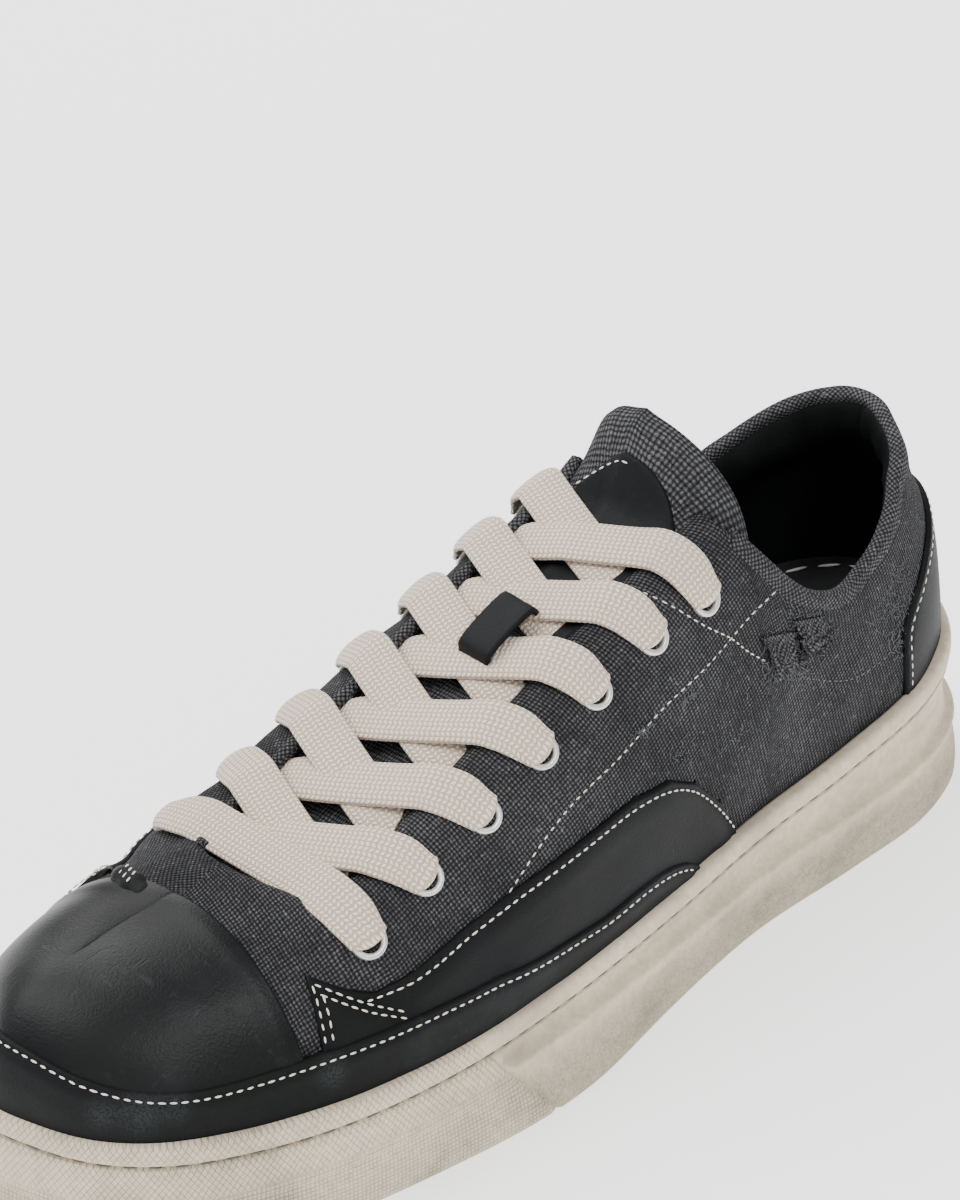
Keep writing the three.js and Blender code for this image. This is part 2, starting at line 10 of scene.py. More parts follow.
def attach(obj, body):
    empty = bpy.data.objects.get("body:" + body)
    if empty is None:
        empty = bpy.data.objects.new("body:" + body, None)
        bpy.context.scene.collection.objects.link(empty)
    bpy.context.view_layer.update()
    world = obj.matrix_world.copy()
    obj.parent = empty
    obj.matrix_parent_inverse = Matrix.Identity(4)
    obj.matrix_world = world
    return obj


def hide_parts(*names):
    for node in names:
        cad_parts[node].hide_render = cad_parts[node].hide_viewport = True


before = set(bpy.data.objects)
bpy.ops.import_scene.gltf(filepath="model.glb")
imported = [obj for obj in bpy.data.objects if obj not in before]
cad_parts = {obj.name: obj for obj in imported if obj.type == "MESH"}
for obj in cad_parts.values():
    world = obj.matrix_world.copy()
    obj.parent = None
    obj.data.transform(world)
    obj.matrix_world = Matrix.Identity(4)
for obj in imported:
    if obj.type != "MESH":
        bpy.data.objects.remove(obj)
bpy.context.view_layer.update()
random.seed(11)
print("frame loaded")

# The last: all sizes in millimetres, toe at -x, lateral side at -y
last = {
    "lateralRun": [(-150.5, 7), (-148.2, -8.5), (-142.5, -22), (-131.5, -33.5), (-114, -42.5), (-90, -49.2),
                   (-60, -52), (-25, -50.3), (12, -46.2), (50, -41), (85, -39.2), (115, -36), (135, -27.5),
                   (147, -14), (150.5, 0)],
    "medialRun": [(147, 14), (135, 27.5), (115, 35.8), (85, 38), (50, 37.5), (12, 41), (-25, 46.5),
                  (-60, 51.2), (-85, 51.2), (-110, 46), (-130, 36), (-143, 22.5)],
    "soleTop": [(-152.5, 31.6), (-87.5, 28.9), (-22.5, 28.4), (62.5, 32), (147.5, 40.5)],
    "spineHeight": [(-125, 54.5), (-108, 56.5), (-92, 60.5), (-73, 66.5), (-42, 80), (-2, 99), (33, 113.5),
                    (58, 121), (100, 124)],
    "spineShift": [(-125, 6), (-108, 6), (-92, 2), (-73, 0), (100, 0)],
    "sectionPower": [(-146, 2.9), (-120, 2.15), (-95, 1.95), (-73, 2), (-32, 2.35), (0, 2.9), (33, 3.5),
                     (80, 3.3), (115, 2.5), (146, 2.05)],
    "topline": [(44, 112), (62, 89.5), (70, 81.5), (79, 76.8), (86, 75.3), (94, 77), (103, 81.5),
                (112, 87), (121, 93), (129, 98.5), (140, 101.5)],
    "featherInset": 4.6, "featherDepth": 9, "toePole": -118, "heelPole": 98, "toeX": -150.5, "heelX": 150.5,
    "wall": 2.2, "shift": (-0.9646, 1.4587, 0),
}

# Soft creases and dents of the worn upper: side, points in side view (x, z), depth, width
creases = {
    "vampLateral": (-1, [(-96, 61), (-88, 57), (-80, 50), (-74, 43)], 1.3, 4.5),
    "vampRidge": (-1, [(-86, 64), (-78, 58), (-70, 50)], -0.8, 4.5),
    "vampMedial": (1, [(-98, 60), (-90, 56), (-83, 48), (-78, 41)], 1.3, 4.5),
    "ballLateral": (-1, [(-62, 66), (-56, 57), (-50, 47), (-46, 40)], 0.9, 6),
    "ballMedial": (1, [(-60, 66), (-54, 57), (-49, 47), (-46, 40)], 0.9, 6),
    "waistLateral": (-1, [(2, 84), (12, 74), (20, 64)], 0.9, 9),
    "waistMedial": (1, [(0, 82), (12, 72), (22, 62)], 0.9, 9),
    "quarterLateral": (-1, [(52, 78), (66, 70), (84, 62), (100, 60)], 1.1, 8),
    "quarterRise": (-1, [(70, 78), (84, 70), (100, 70)], -0.8, 7),
    "quarterMedial": (1, [(50, 80), (66, 70), (86, 62)], 1.1, 8),
    "collarLateral": (-1, [(96, 74), (104, 66), (108, 56)], 0.8, 6),
    "heelWrinkle": (-1, [(118, 88), (128, 84), (140, 82)], 0.9, 5),
    "heelWrinkleMedial": (1, [(112, 82), (126, 80), (140, 80)], 0.9, 5),
}


def along(table, x):
    xs, values = np.array(table, float).T
    count = len(xs)
    slopes = np.array([(values[min(k + 1, count - 1)] - values[max(k - 1, 0)])
                       / (xs[min(k + 1, count - 1)] - xs[max(k - 1, 0)]) for k in range(count)])
    x = np.clip(x, xs[0], xs[-1])
    i = np.clip(np.searchsorted(xs, x, side="right") - 1, 0, count - 2)
    span = xs[i + 1] - xs[i]
    u = (x - xs[i]) / span
    rise = u * u * (3 - 2 * u)
    return (values[i] + (values[i + 1] - values[i]) * rise + u * (1 - u) ** 2 * span * slopes[i]
            + u * u * (u - 1) * span * slopes[i + 1])


def smooth(x, low, high):
    u = np.clip((x - low) / (high - low), 0, 1)
    return u * u * (3 - 2 * u)


def unit(v):
    return v / np.maximum(np.linalg.norm(v, axis=-1, keepdims=True), 1e-9)


def bump(x, centre, width):
    return np.exp(-((x - centre) / width) ** 2)


def between(ends, share):
    return ends[0] + (ends[1] - ends[0]) * share


def blunt(value, power):
    # a sine or cosine made squarer, its sign kept
    return np.sign(value) * abs(value) ** power


def runLength(line):
    # the length walked from the first point of each line
    steps = np.linalg.norm(np.diff(line, axis=-2), axis=-1)
    return np.concatenate([np.zeros(steps.shape[:-1] + (1,)), np.cumsum(steps, axis=-1)], axis=-1)


def wrapped(s):
    # s past the heel comes back in on the other side
    return np.where(s < -1, s + 2, np.where(s > 1, s - 2, s))


def closedCurve(points, places):
    # centripetal curve through a closed list of points
    points = np.array(points, float)
    count = len(points)
    i = np.floor(places).astype(int)
    w = (places - i)[:, None]
    p0, p1, p2, p3 = (points[(i + k) % count] for k in (-1, 0, 1, 2))
    d0, d1, d2 = (np.sum((b - a) ** 2, axis=1)[:, None] ** 0.25 for a, b in ((p0, p1), (p1, p2), (p2, p3)))
    t1 = ((p1 - p0) / d0 - (p2 - p0) / (d0 + d1) + (p2 - p1) / d1) * d1
    t2 = ((p2 - p1) / d1 - (p3 - p1) / (d1 + d2) + (p3 - p2) / d2) * d1
    return p1 + t1 * w + (-3 * p1 + 3 * p2 - 2 * t1 - t2) * w ** 2 + (2 * p1 - 2 * p2 + t1 + t2) * w ** 3


def outlineTable():
    # s runs from the heel (-1) along the lateral side to the toe (0) and back along the medial side (1)
    points = last["lateralRun"] + last["medialRun"]
    heelIndex = len(last["lateralRun"]) - 1
    even = np.linspace(0, 1, 1601)
    reach, step = 1.3, 0.004
    sides = []
    for start in (0, len(points)):
        run = closedCurve(points, np.linspace(start, heelIndex, 2401))
        length = runLength(run)
        sides.append(np.stack([np.interp(even, length / length[-1], run[:, k]) for k in (0, 1)], -1))
    s = np.linspace(-reach, reach, 5201)

    def plan(s):
        w = wrapped(np.clip(s, -reach, reach))
        picks = [np.where(w < 0, np.interp(-w, even, sides[0][:, k]), np.interp(w, even, sides[1][:, k]))
                 for k in (0, 1)]
        middle = (np.interp(abs(w), even, sides[0][:, 0]) + np.interp(abs(w), even, sides[1][:, 0])) / 2
        return np.stack(picks + [middle], -1)

    place = plan(s)
    way = unit(plan(s + step)[:, :2] - plan(s - step)[:, :2])
    return s, np.column_stack([place[:, 0], place[:, 1], -way[:, 1], way[:, 0], place[:, 2]])


outlineS, outlineRows = outlineTable()


def outlineAt(s):
    return [np.interp(s, outlineS, outlineRows[:, k]) for k in range(5)]


def lastPoint(s, phi):
    ex, ey, nx, ny, middle = outlineAt(s)
    fx, fy = ex - nx * last["featherInset"], ey - ny * last["featherInset"]
    share = (middle - last["toeX"]) / (last["heelX"] - last["toeX"])
    spineX = last["toePole"] + share * (last["heelPole"] - last["toePole"])
    spineY, spineZ = along(last["spineShift"], spineX), along(last["spineHeight"], spineX)
    power = along(last["sectionPower"], middle)
    spread = np.maximum(np.cos(phi), 0) ** (2 / power)
    rise = np.maximum(np.sin(phi), 0) ** (2 / power)
    base = along(last["soleTop"], ex) - last["featherDepth"]
    return np.stack([spineX + (fx - spineX) * spread, spineY + (fy - spineY) * spread,
                     base + (spineZ - base) * rise], -1)


def lastNormal(s, phi):
    step = 0.01
    up = lastPoint(s, np.minimum(phi + step, math.pi / 2)) - lastPoint(s, np.maximum(phi - step, 0.002))
    around = lastPoint(s + step, phi) - lastPoint(s - step, phi)
    normal = unit(np.cross(up, around))
    t = abs(wrapped(s))
    way = unit(lastPoint(-np.minimum(t + step, 1), math.pi / 2 + 0 * s)
               - lastPoint(-np.maximum(t - step, 0), math.pi / 2 + 0 * s))
    top = unit(np.stack([-way[..., 2], 0 * way[..., 0], way[..., 0]], -1))
    blend = smooth(phi, math.pi / 2 - 0.06, math.pi / 2 - 0.005)[..., None]
    return unit(normal * (1 - blend) + top * blend)


def solvePlace(s, goalX, goal, axis):
    # the place on the skin with a given x, and a given z (axis 2) or distance from the spine (axis 1)
    side = np.sign(s)
    low, high = np.full(goalX.shape, 0.002), np.full(goalX.shape, math.pi / 2)
    for step in range(20):
        phi = (low + high) / 2
        lowT, highT = np.zeros(goalX.shape), np.ones(goalX.shape)
        for inner in range(20):
            t = (lowT + highT) / 2
            less = lastPoint(side * t, phi)[..., 0] < goalX
            lowT, highT = np.where(less, t, lowT), np.where(less, highT, t)
        place = lastPoint(side * t, phi)
        if axis == 2:
            below = place[..., 2] < goal
        else:
            below = abs(place[..., 1] - along(last["spineShift"], goalX)) > goal
        low, high = np.where(below, phi, low), np.where(below, high, phi)
    return side * t, phi


def atSide(side, x, z):
    x, z = np.array(x, float), np.array(z, float)
    return solvePlace(np.full(x.shape, float(side)), x, z, 2)


def atPlan(x, y):
    x, y = np.array(x, float), np.array(y, float)
    centre = along(last["spineShift"], x)
    return solvePlace(np.where(y < centre, -1.0, 1.0), x, abs(y - centre), 1)


def distanceTo(points, line):
    best = np.full(points.shape[:-1], 1e9)
    for a, b in zip(line[:-1], line[1:]):
        ab = b - a
        share = np.clip(((points - a) @ ab) / max(ab @ ab, 1e-9), 0, 1)
        best = np.minimum(best, np.linalg.norm(points - a - share[..., None] * ab, axis=-1))
    return best


creaseLines = {}
for name, (side, line, depth, width) in creases.items():
    xs, zs = np.array(line, float).T
    share = np.linspace(0, len(xs) - 1, 12)
    spots = atSide(side, np.interp(share, range(len(xs)), xs), np.interp(share, range(len(xs)), zs))
    creaseLines[name] = lastPoint(*spots)


# How far the worn upper departs from the last
wornLook = {"creasesFrom": (-97, -84), "wave": 0.25, "ripple": 0.05, "crownFill": 0.95, "stayDrop": 3,
            "throatDrop": 7.5}


def skin(s, phi, offset=0.0):
    # a point of the worn upper, moved out by offset
    s, phi = np.broadcast_arrays(np.array(s, float), np.array(phi, float))
    point, normal = lastPoint(s, phi), lastNormal(s, phi)
    x, y, z = point[..., 0], point[..., 1], point[..., 2]
    shift = wornLook["wave"] * np.sin(x * 0.16 + y * 0.11) * np.sin(z * 0.17 + 1.3)
    shift = shift + wornLook["ripple"] * np.sin(x * 0.29 + z * 0.3)
    for name, (side, line, depth, width) in creases.items():
        away = distanceTo(point, creaseLines[name])
        shift = shift - depth * bump(away, 0, width) * smooth(x, *wornLook["creasesFrom"])
    # the valley that the last has along its crown over the toes is filled
    crown = np.exp(-np.sqrt((y - along(last["spineShift"], x)) ** 2 + 1.2) / 9) * (1 - smooth(abs(y), 24, 34))
    shift = shift + wornLook["crownFill"] * crown * smooth(x, -130, -112) * (1 - smooth(x, -86, -70))
    # the eyestays lie flatter than the last towards the throat
    stay = smooth(31 - abs(y), 0, 11) * smooth(x, -90, -70) * (1 - smooth(x, 34, 52))
    return point + normal * (shift + offset - wornLook["stayDrop"] * stay)[..., None]


def throatSink(x, y):
    # how far the tongue and its keeper are pressed down between the eyestays
    trough = np.clip(1 - (y / 24) ** 2, 0, 1) * smooth(x, -88, -64) * (1 - smooth(x, 26, 50))
    return wornLook["throatDrop"] * trough


def phiWhere(s, isOver):
    # first phi, from the feather line up, where a test on the point turns true
    grid = 0.0015 + (math.pi / 2 - 0.0015) * np.linspace(0, 1, 130) ** 2
    flags = isOver(lastPoint(s[:, None], grid[None, :] + 0 * s[:, None]))
    first = np.maximum(flags.argmax(axis=1), 1)
    never = ~flags.any(axis=1)
    low, high = grid[first - 1].copy(), grid[first].copy()
    for step in range(16):
        middle = (low + high) / 2
        over = isOver(lastPoint(s, middle))
        low, high = np.where(over, low, middle), np.where(over, middle, high)
    return np.where(never, math.pi / 2, high)


def phiOver(s, edge):
    # where each column passes the height that edge gives for its x
    return phiWhere(s, lambda p: p[..., 2] > edge(p[..., 0]))


def columnAt(side, x, z):
    # the column through a place in the side view
    return atSide(side, [x], [z])[0][0]


def evenRows(s, phiLow, phiHigh, shares):
    # phi of rows that lie at even shares of the way up each column
    steps = np.linspace(0, 1, 80)[None, :] ** 2.6
    phi = phiLow[:, None] + (phiHigh - phiLow)[:, None] * steps
    length = runLength(lastPoint(s[:, None] + 0 * phi, phi))
    total = length[:, -1]
    rows = np.array([np.interp(shares * total[i], length[i], phi[i]) for i in range(len(s))])
    return rows, total


def toFrame(points):
    return (points + np.array(last["shift"])) / 1000


# Shader helpers: a wire is a number that varies over the surface
class Wire:
    def __init__(self, finish, socket):
        self.finish, self.socket = finish, socket

    def maths(self, operation, *others):
        node = self.finish.node("ShaderNodeMath", {"operation": operation}, [self, *others])
        return Wire(self.finish, node.outputs[0])

    def __add__(self, other):
        return self.maths("ADD", other)

    def __sub__(self, other):
        return self.maths("SUBTRACT", other)

    def __rsub__(self, other):
        return (self * -1) + other

    def __mul__(self, other):
        return self.maths("MULTIPLY", other)

    __radd__, __rmul__ = __add__, __mul__

    def sine(self):
        return self.maths("SINE")

    def size(self):
        return self.maths("ABSOLUTE")

    def sign(self):
        return self.maths("SIGN")

    def power(self, other):
        return self.maths("POWER", other)

    def larger(self, other):
        return self.maths("MAXIMUM", other)

    def smaller(self, other):
        return self.maths("MINIMUM", other)

    def step(self, low, high):
        node = self.finish.node("ShaderNodeMapRange", {"interpolation_type": "SMOOTHSTEP"},
                                {"Value": self, "From Min": low, "From Max": high})
        return Wire(self.finish, node.outputs["Result"])


class Finish:
    def __init__(self, name, roughness=0.6, metallic=0.0, specular=0.5, sheen=0.0):
        self.material = bpy.data.materials.new(name)
        self.material.use_nodes = True
        self.tree = self.material.node_tree
        self.shader = self.tree.nodes["Principled BSDF"]
        self.shader.inputs["Roughness"].default_value = roughness
        self.shader.inputs["Metallic"].default_value = metallic
        self.shader.inputs["Specular IOR Level"].default_value = specular
        self.shader.inputs["Sheen Weight"].default_value = sheen
        self.shader.inputs["Sheen Roughness"].default_value = 0.6
        self.coords = self.node("ShaderNodeTexCoord")

    def node(self, kind, settings=None, inputs=None):
        node = self.tree.nodes.new(kind)
        for key, value in (settings or {}).items():
            setattr(node, key, value)
        pairs = inputs.items() if isinstance(inputs, dict) else enumerate(inputs or [])
        for key, value in pairs:
            self.plug(node.inputs[key], value)
        return node

    def plug(self, socket, value):
        if isinstance(value, Wire):
            self.tree.links.new(value.socket, socket)
        elif isinstance(value, bpy.types.NodeSocket):
            self.tree.links.new(value, socket)
        else:
            socket.default_value = value

    def place(self, kind, stretch, turn=0.0):
        inputs = {"Vector": self.coords.outputs[kind], "Scale": stretch, "Rotation": (0, 0, turn)}
        return self.node("ShaderNodeMapping", None, inputs).outputs[0]

    def axes(self, vector):
        split = self.node("ShaderNodeSeparateXYZ", None, [vector])
        return [Wire(self, socket) for socket in split.outputs]

    def noise(self, scale, detail, roughness=0.55, vector=None, distortion=0.0):
        node = self.node("ShaderNodeTexNoise", None,
                         {"Vector": vector or self.coords.outputs["Object"], "Scale": scale, "Detail": detail,
                          "Roughness": roughness, "Distortion": distortion})
        return Wire(self, node.outputs["Fac"])

    def cells(self, scale):
        inputs = {"Vector": self.coords.outputs["Object"], "Scale": scale}
        return Wire(self, self.node("ShaderNodeTexVoronoi", None, inputs).outputs["Distance"])

    def mix(self, factor, first, second):
        node = self.node("ShaderNodeMix", {"data_type": "RGBA"}, {"Factor": factor, 6: first, 7: second})
        return node.outputs[2]

    def paint(self, colour=None, roughness=None, height=None, depth=0.0003):
        if colour is not None:
            self.plug(self.shader.inputs["Base Color"], colour)
        if roughness is not None:
            self.plug(self.shader.inputs["Roughness"], roughness)
        if height is not None:
            relief = self.node("ShaderNodeBump", None, {"Strength": 1.0, "Distance": depth, "Height": height})
            self.plug(self.shader.inputs["Normal"], relief.outputs[0])
        return self.material


def shade(*levels):
    # a colour given as screen levels from 0 to 255
    parts = [level / 255 for level in levels]
    return (*(part / 12.92 if part < 0.039 else ((part + 0.055) / 1.055) ** 2.4 for part in parts), 1)


canvasLook = {"pitch": 1.0, "slub": 130, "dark": shade(17, 17, 18), "body": shade(45, 45, 47),
              "light": shade(104, 104, 106)}


def weave(u, v):
    # plain weave: warp and weft threads that pass over each other in turn
    sineU, sineV = (u * math.pi).sine(), (v * math.pi).sine()
    warp = sineU.size() + sineU.sign() * sineV * 0.8
    weft = sineV.size() - sineV.sign() * sineU * 0.8
    return warp.larger(weft)


def makeCanvas(name, fade, turn):
    finish = Finish(name, roughness=0.95, specular=0.12)
    threads = 1000 / canvasLook["pitch"]
    flat = finish.node("ShaderNodeVectorRotate", {"rotation_type": "Z_AXIS"},
                       {"Vector": finish.coords.outputs["UV"], "Angle": turn}).outputs[0]
    x, y = finish.axes(flat)[:2]
    wobble, waver = finish.noise(160, 3) * 1.1, finish.noise(140, 3, 0.6, distortion=1.0) * 1.1
    height = weave(x * threads + wobble, y * threads + waver)
    slubs = 0
    for stretch in ((threads, canvasLook["slub"], 1), (canvasLook["slub"], threads, 1)):
        drawn = finish.node("ShaderNodeVectorMath", {"operation": "MULTIPLY"}, [flat, stretch]).outputs[0]
        slubs = finish.noise(1, 2, 0.6, drawn) + slubs
    fuzz = finish.noise(2600, 2, 0.7)
    wash = finish.noise(28, 4, 0.6)
    patches = finish.noise(9, 3, 0.6)
    fleck = finish.noise(700, 2, 0.5).step(0.60, 0.74)
    # the weave's height darkens the gaps between threads and lightens their crossings, which is painted
    # shade; slubs, fuzz, wash, patches and flecks are the cloth's own tone
    tone = (height - 0.8) * 0.9 + (slubs - 1) * 0.6 + (fuzz - 0.5) * 1.7
    tone = tone + (wash - 0.5) * 1.1 + (patches - 0.5) * 0.6 + fleck * 0.55 + fade
    low = finish.mix(tone.step(-0.75, 0.35), canvasLook["dark"], canvasLook["body"])
    colour = finish.mix(tone.step(0.25, 1.35), low, canvasLook["light"])
    relief = height + (fuzz - 0.5) * 0.8 + slubs * 0.5
    return finish.paint(colour, None, relief, 0.00030)


leatherLook = {"black": shade(7, 8, 9), "blue": shade(13, 15, 18), "scuff": shade(58, 64, 64),
               "smudges": [(-132.2, -23, 37, 8), (-137.8, -17.8, 37, 6), (-126.4, -27, 37, 6),
                           (-93.6, -39.8, 35, 6)]}


def makeLeather(name, polish, scuffs, smudges=()):
    finish = Finish(name, roughness=0.5, specular=0.16 + max(polish, 0) * 0.2)
    grain = finish.cells(1500)
    pores = finish.noise(2200, 3, 0.6)
    cloud = finish.noise(22, 4, 0.6)
    broad = finish.noise(9, 3, 0.5)
    scratch = finish.noise(1, 3, 0.6, finish.place("Object", (500, 60, 500), 0.7))
    crossed = finish.noise(1, 3, 0.6, finish.place("Object", (70, 600, 300), -0.5))
    marks = (scratch.step(0.60, 0.72) + crossed.step(0.62, 0.74)) * cloud.step(0.42, 0.62)
    rub = cloud.step(0.52, 0.72) * scuffs
    for x, y, z, size in smudges:
        # rubbed greyer around a place on the shoe
        away = finish.node("ShaderNodeVectorMath", {"operation": "DISTANCE"},
                           [finish.coords.outputs["Object"], (x / 1000, y / 1000, z / 1000)]).outputs["Value"]
        rub = rub + (1 - Wire(finish, away).step(0.0, size / 1000)) * pores.step(0.35, 0.6) * 1.3
    tone = finish.mix(broad.step(0.35, 0.7), leatherLook["black"], leatherLook["blue"])
    tone = finish.mix((rub * 0.45 + marks * 0.22 * (scuffs + 0.3)).smaller(0.7), tone, leatherLook["scuff"])
    rough = 0.47 - polish + cloud * 0.16 + pores * 0.1 - rub * 0.05
    height = pores * 0.5 + grain * 0.35 - marks * 0.5 + cloud * 0.3
    return finish.paint(tone, rough, height, 0.00012)


rubberLook = {"seam": -0.0359, "diamond": 0.0021, "slant": 1.35, "grid": 0.00105,
              "clean": shade(192, 178, 155), "bright": shade(212, 198, 175), "grime": shade(132, 124, 108)}


def makeRubber():
    # a raised diamond pattern in front of the slanted seam, rougher and dirtier behind it
    finish = Finish("rubber_worn", roughness=0.7, specular=0.35)
    u, v = finish.axes(finish.coords.outputs["UV"])[:2]
    x, z = finish.axes(finish.coords.outputs["Object"])[::2]

    def ribs(run, pitch):
        return (run * (math.pi / pitch)).sine().size()

    jag = (finish.noise(260, 3) - 0.5) * 0.003
    front = 1 - (x + z * 0.8 - rubberLook["seam"] + jag).step(-0.0005, 0.0005)
    slanted, diamond, grid = u * rubberLook["slant"], rubberLook["diamond"], rubberLook["grid"]
    hatch = ribs(slanted + v, diamond).smaller(ribs(slanted - v, diamond)).step(0.0, 0.22)
    fine = ribs(u, grid).smaller(ribs(v, grid)).step(0.0, 0.5)
    upperZone = z.step(0.0145, 0.0175)
    pattern = hatch * upperZone + fine * (1 - upperZone)
    rough = finish.noise(1500, 4, 0.75)
    coarse = finish.noise(420, 4, 0.7)
    dirt = finish.noise(34, 5, 0.65)
    smear = finish.noise(1, 4, 0.6, finish.place("UV", (30, 130, 1)))
    low = 1 - z.step(0.006, 0.0185)
    lowBand = low * (1 - front)
    fuzz = lowBand * (rough * 0.6 + coarse * 0.9)
    grime = dirt.step(0.46, 0.72) * 0.35 + smear.step(0.5, 0.75) * 0.25
    grime = grime + lowBand * (0.38 + rough.step(0.42, 0.62) * 0.35)
    grime = grime + low * front * 0.22 * dirt.step(0.3, 0.6)
    grime = grime + (1 - pattern) * front * 0.35 * dirt.step(0.35, 0.65)
    clean = finish.mix(coarse.step(0.3, 0.7), rubberLook["clean"], rubberLook["bright"])
    colour = finish.mix(grime.smaller(0.9), clean, rubberLook["grime"])
    height = pattern * front * 0.7 + fuzz * 1.6 + coarse * 0.15 + dirt * 0.3
    return finish.paint(colour, 0.72 - front * 0.08 + fuzz * 0.1, height, 0.00032)


# gapShade is painted shade for the gaps between the lace's beads; stain is the lace's own soiling
braidLook = {"column": 1.25, "bead": 1.3, "gapShade": shade(190, 167, 145), "body": shade(241, 228, 213),
             "stain": shade(206, 190, 170)}


def makeLaceCotton():
    finish = Finish("lace_cotton", roughness=0.85, specular=0.3, sheen=0.2)
    across, run = finish.axes(finish.coords.outputs["UV"])[:2]
    u, v = across * (1000 / braidLook["column"]), run * (1000 / braidLook["bead"])
    # a flat braid: columns of short beads whose slant turns from one column to the next
    column = (u * math.pi).sine().size()
    bead = ((v * math.tau + ((u + 0.5) * math.pi).sine() * 0.9).sine() * 0.5 + 0.5) * column
    fuzz = finish.noise(2500, 2, 0.7)
    stain = finish.noise(60, 4, 0.6)
    # the colour follows the bead height: painted shade in the gaps between beads, painted highlight on the
    # bead tops
    light = (bead * 1.3 + (fuzz - 0.5) * 0.3).step(0.0, 0.8)
    colour = finish.mix(light, braidLook["gapShade"], braidLook["body"])
    colour = finish.mix(stain.step(0.5, 0.8) * 0.25, colour, braidLook["stain"])
    return finish.paint(colour, None, bead.power(0.7) + fuzz * 0.15, 0.00040)


def makePlain(name, colour, other, roughness, metallic=0.0, scale=900):
    finish = Finish(name, roughness=roughness, metallic=metallic)
    grain = finish.noise(scale, 3, 0.6)
    cloud = finish.noise(40, 3, 0.6)
    tone = finish.mix((grain * 0.6 + cloud * 0.5).step(0.35, 0.75), colour, other)
    return finish.paint(tone, roughness - 0.08 + grain * 0.16, grain + cloud * 0.5, 0.0001)


canvas = makeCanvas("canvas_washed", 0.0, 0.32)
canvasPale = makeCanvas("canvas_worn_edge", 0.18, 0.78)
tongueCanvas = makeCanvas("canvas_tongue", 0.1, 0.0)
leather = makeLeather("leather_black", 0.0, 0.45, leatherLook["smudges"])
toeLeather = makeLeather("leather_toe", 0.2, 0.6)
smoothLeather = makeLeather("leather_smooth", 0.0, 0.05)
rubber = makeRubber()
laceCotton = makeLaceCotton()
lining = makeLeather("lining_leather", -0.05, 0.25)
footbed = makePlain("footbed_cloth", shade(24, 24, 26), shade(38, 39, 41), 0.9)
silverMetal = makePlain("eyelet_white", shade(196, 196, 192), shade(226, 226, 223), 0.3, 0.5)
whiteThread = makePlain("thread_white", shade(206, 200, 188), shade(236, 231, 221), 0.85, 0.0, 2500)
# dark grey-brown thread for the stitches in the sole's groove, darker than the white thread
darkThread = makePlain("thread_dark_sole", shade(74, 68, 60), shade(108, 100, 88), 0.85, 0.0, 2500)
looseThread = makePlain("thread_frayed", shade(62, 63, 66), shade(112, 113, 116), 0.95, 0.0, 1500)
print("finishes made")

pieces = bpy.data.collections.new("dressed_sneaker")
bpy.context.scene.collection.children.link(pieces)


def addPiece(name, bm, material, nodes=(), wall=0.0):
    mesh = bpy.data.meshes.new(name)
    bm.to_mesh(mesh)
    bm.free()
    mesh.polygons.foreach_set("use_smooth", [True] * len(mesh.polygons))
    mesh.materials.append(material)
    piece = bpy.data.objects.new(name, mesh)
    pieces.objects.link(piece)
    if wall:
        solidify = piece.modifiers.new("wall", "SOLIDIFY")
        solidify.thickness, solidify.offset = wall / 1000, -1
    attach(piece, "root")
    if nodes:
        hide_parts(*nodes)


def gridForm(points, uv, flip=False, join=False, drop=None):
    # a grid whose corners take their places from points[column, row]
    columns, rows = points.shape[0] - 1, points.shape[1] - 1
    bm = bmesh.new()
    bmesh.ops.create_grid(bm, x_segments=columns, y_segments=rows, size=0.5)
    bm.verts.ensure_lookup_table()
    places = np.array([vert.co[:2] for vert in bm.verts]) + 0.5
    i, j = np.rint(places[:, 0] * columns).astype(int), np.rint(places[:, 1] * rows).astype(int)
    framed = toFrame(points)[i, j]
    for vert, place in zip(bm.verts, framed.tolist()):
        vert.co = place
    layer = bm.loops.layers.uv.new("cloth")
    marks = uv[i, j].tolist()
    for face in bm.faces:
        for loop in face.loops:
            loop[layer].uv = marks[loop.vert.index]
    if drop is not None:
        doomed = [face for face in bm.faces if drop(face.calc_center_median())]
        bmesh.ops.delete(bm, geom=doomed, context="FACES")
    if flip:
        bmesh.ops.reverse_faces(bm, faces=bm.faces[:])
    if join:
        bmesh.ops.remove_doubles(bm, verts=bm.verts[:], dist=0.000005)
    return bm


def lengthMap(points):
    # real lengths along the middle row and up each column, in metres
    run = runLength(points[:, points.shape[1] // 2])
    return np.stack([np.repeat(run[:, None], points.shape[1], axis=1), runLength(points)], -1) / 1000


def sweepForm(path, across, up, section):
    # section[k] gives the ring (side, rise) at path point k; both ends are closed at their middles
    points = path[:, None] + across[:, None] * section[..., 0:1] + up[:, None] * section[..., 1:2]
    run = np.repeat(runLength(path)[:, None], points.shape[1], axis=1)
    uv = np.stack([runLength(points), run], -1) / 1000
    first, final = (np.repeat(points[k].mean(axis=0)[None, None], points.shape[1], axis=1) for k in (0, -1))
    bm = gridForm(np.concatenate([first, points, final]), np.concatenate([uv[:1], uv, uv[-1:]]), join=True)
    bmesh.ops.recalc_face_normals(bm, faces=bm.faces[:])
    return bm


def roundSection(thick, sides, wide=1.0, high=1.0):
    turn = np.linspace(0, math.tau, sides + 1)
    return np.stack([np.cos(turn) * thick[:, None] * wide, np.sin(turn) * thick[:, None] * high], -1)


def tubeForm(path, normal, section):
    # a tube that lies on a surface with the given normal
    way = unit(np.gradient(path, axis=0))
    across = unit(np.cross(way, normal))
    return sweepForm(path, across, unit(np.cross(across, way)), section)


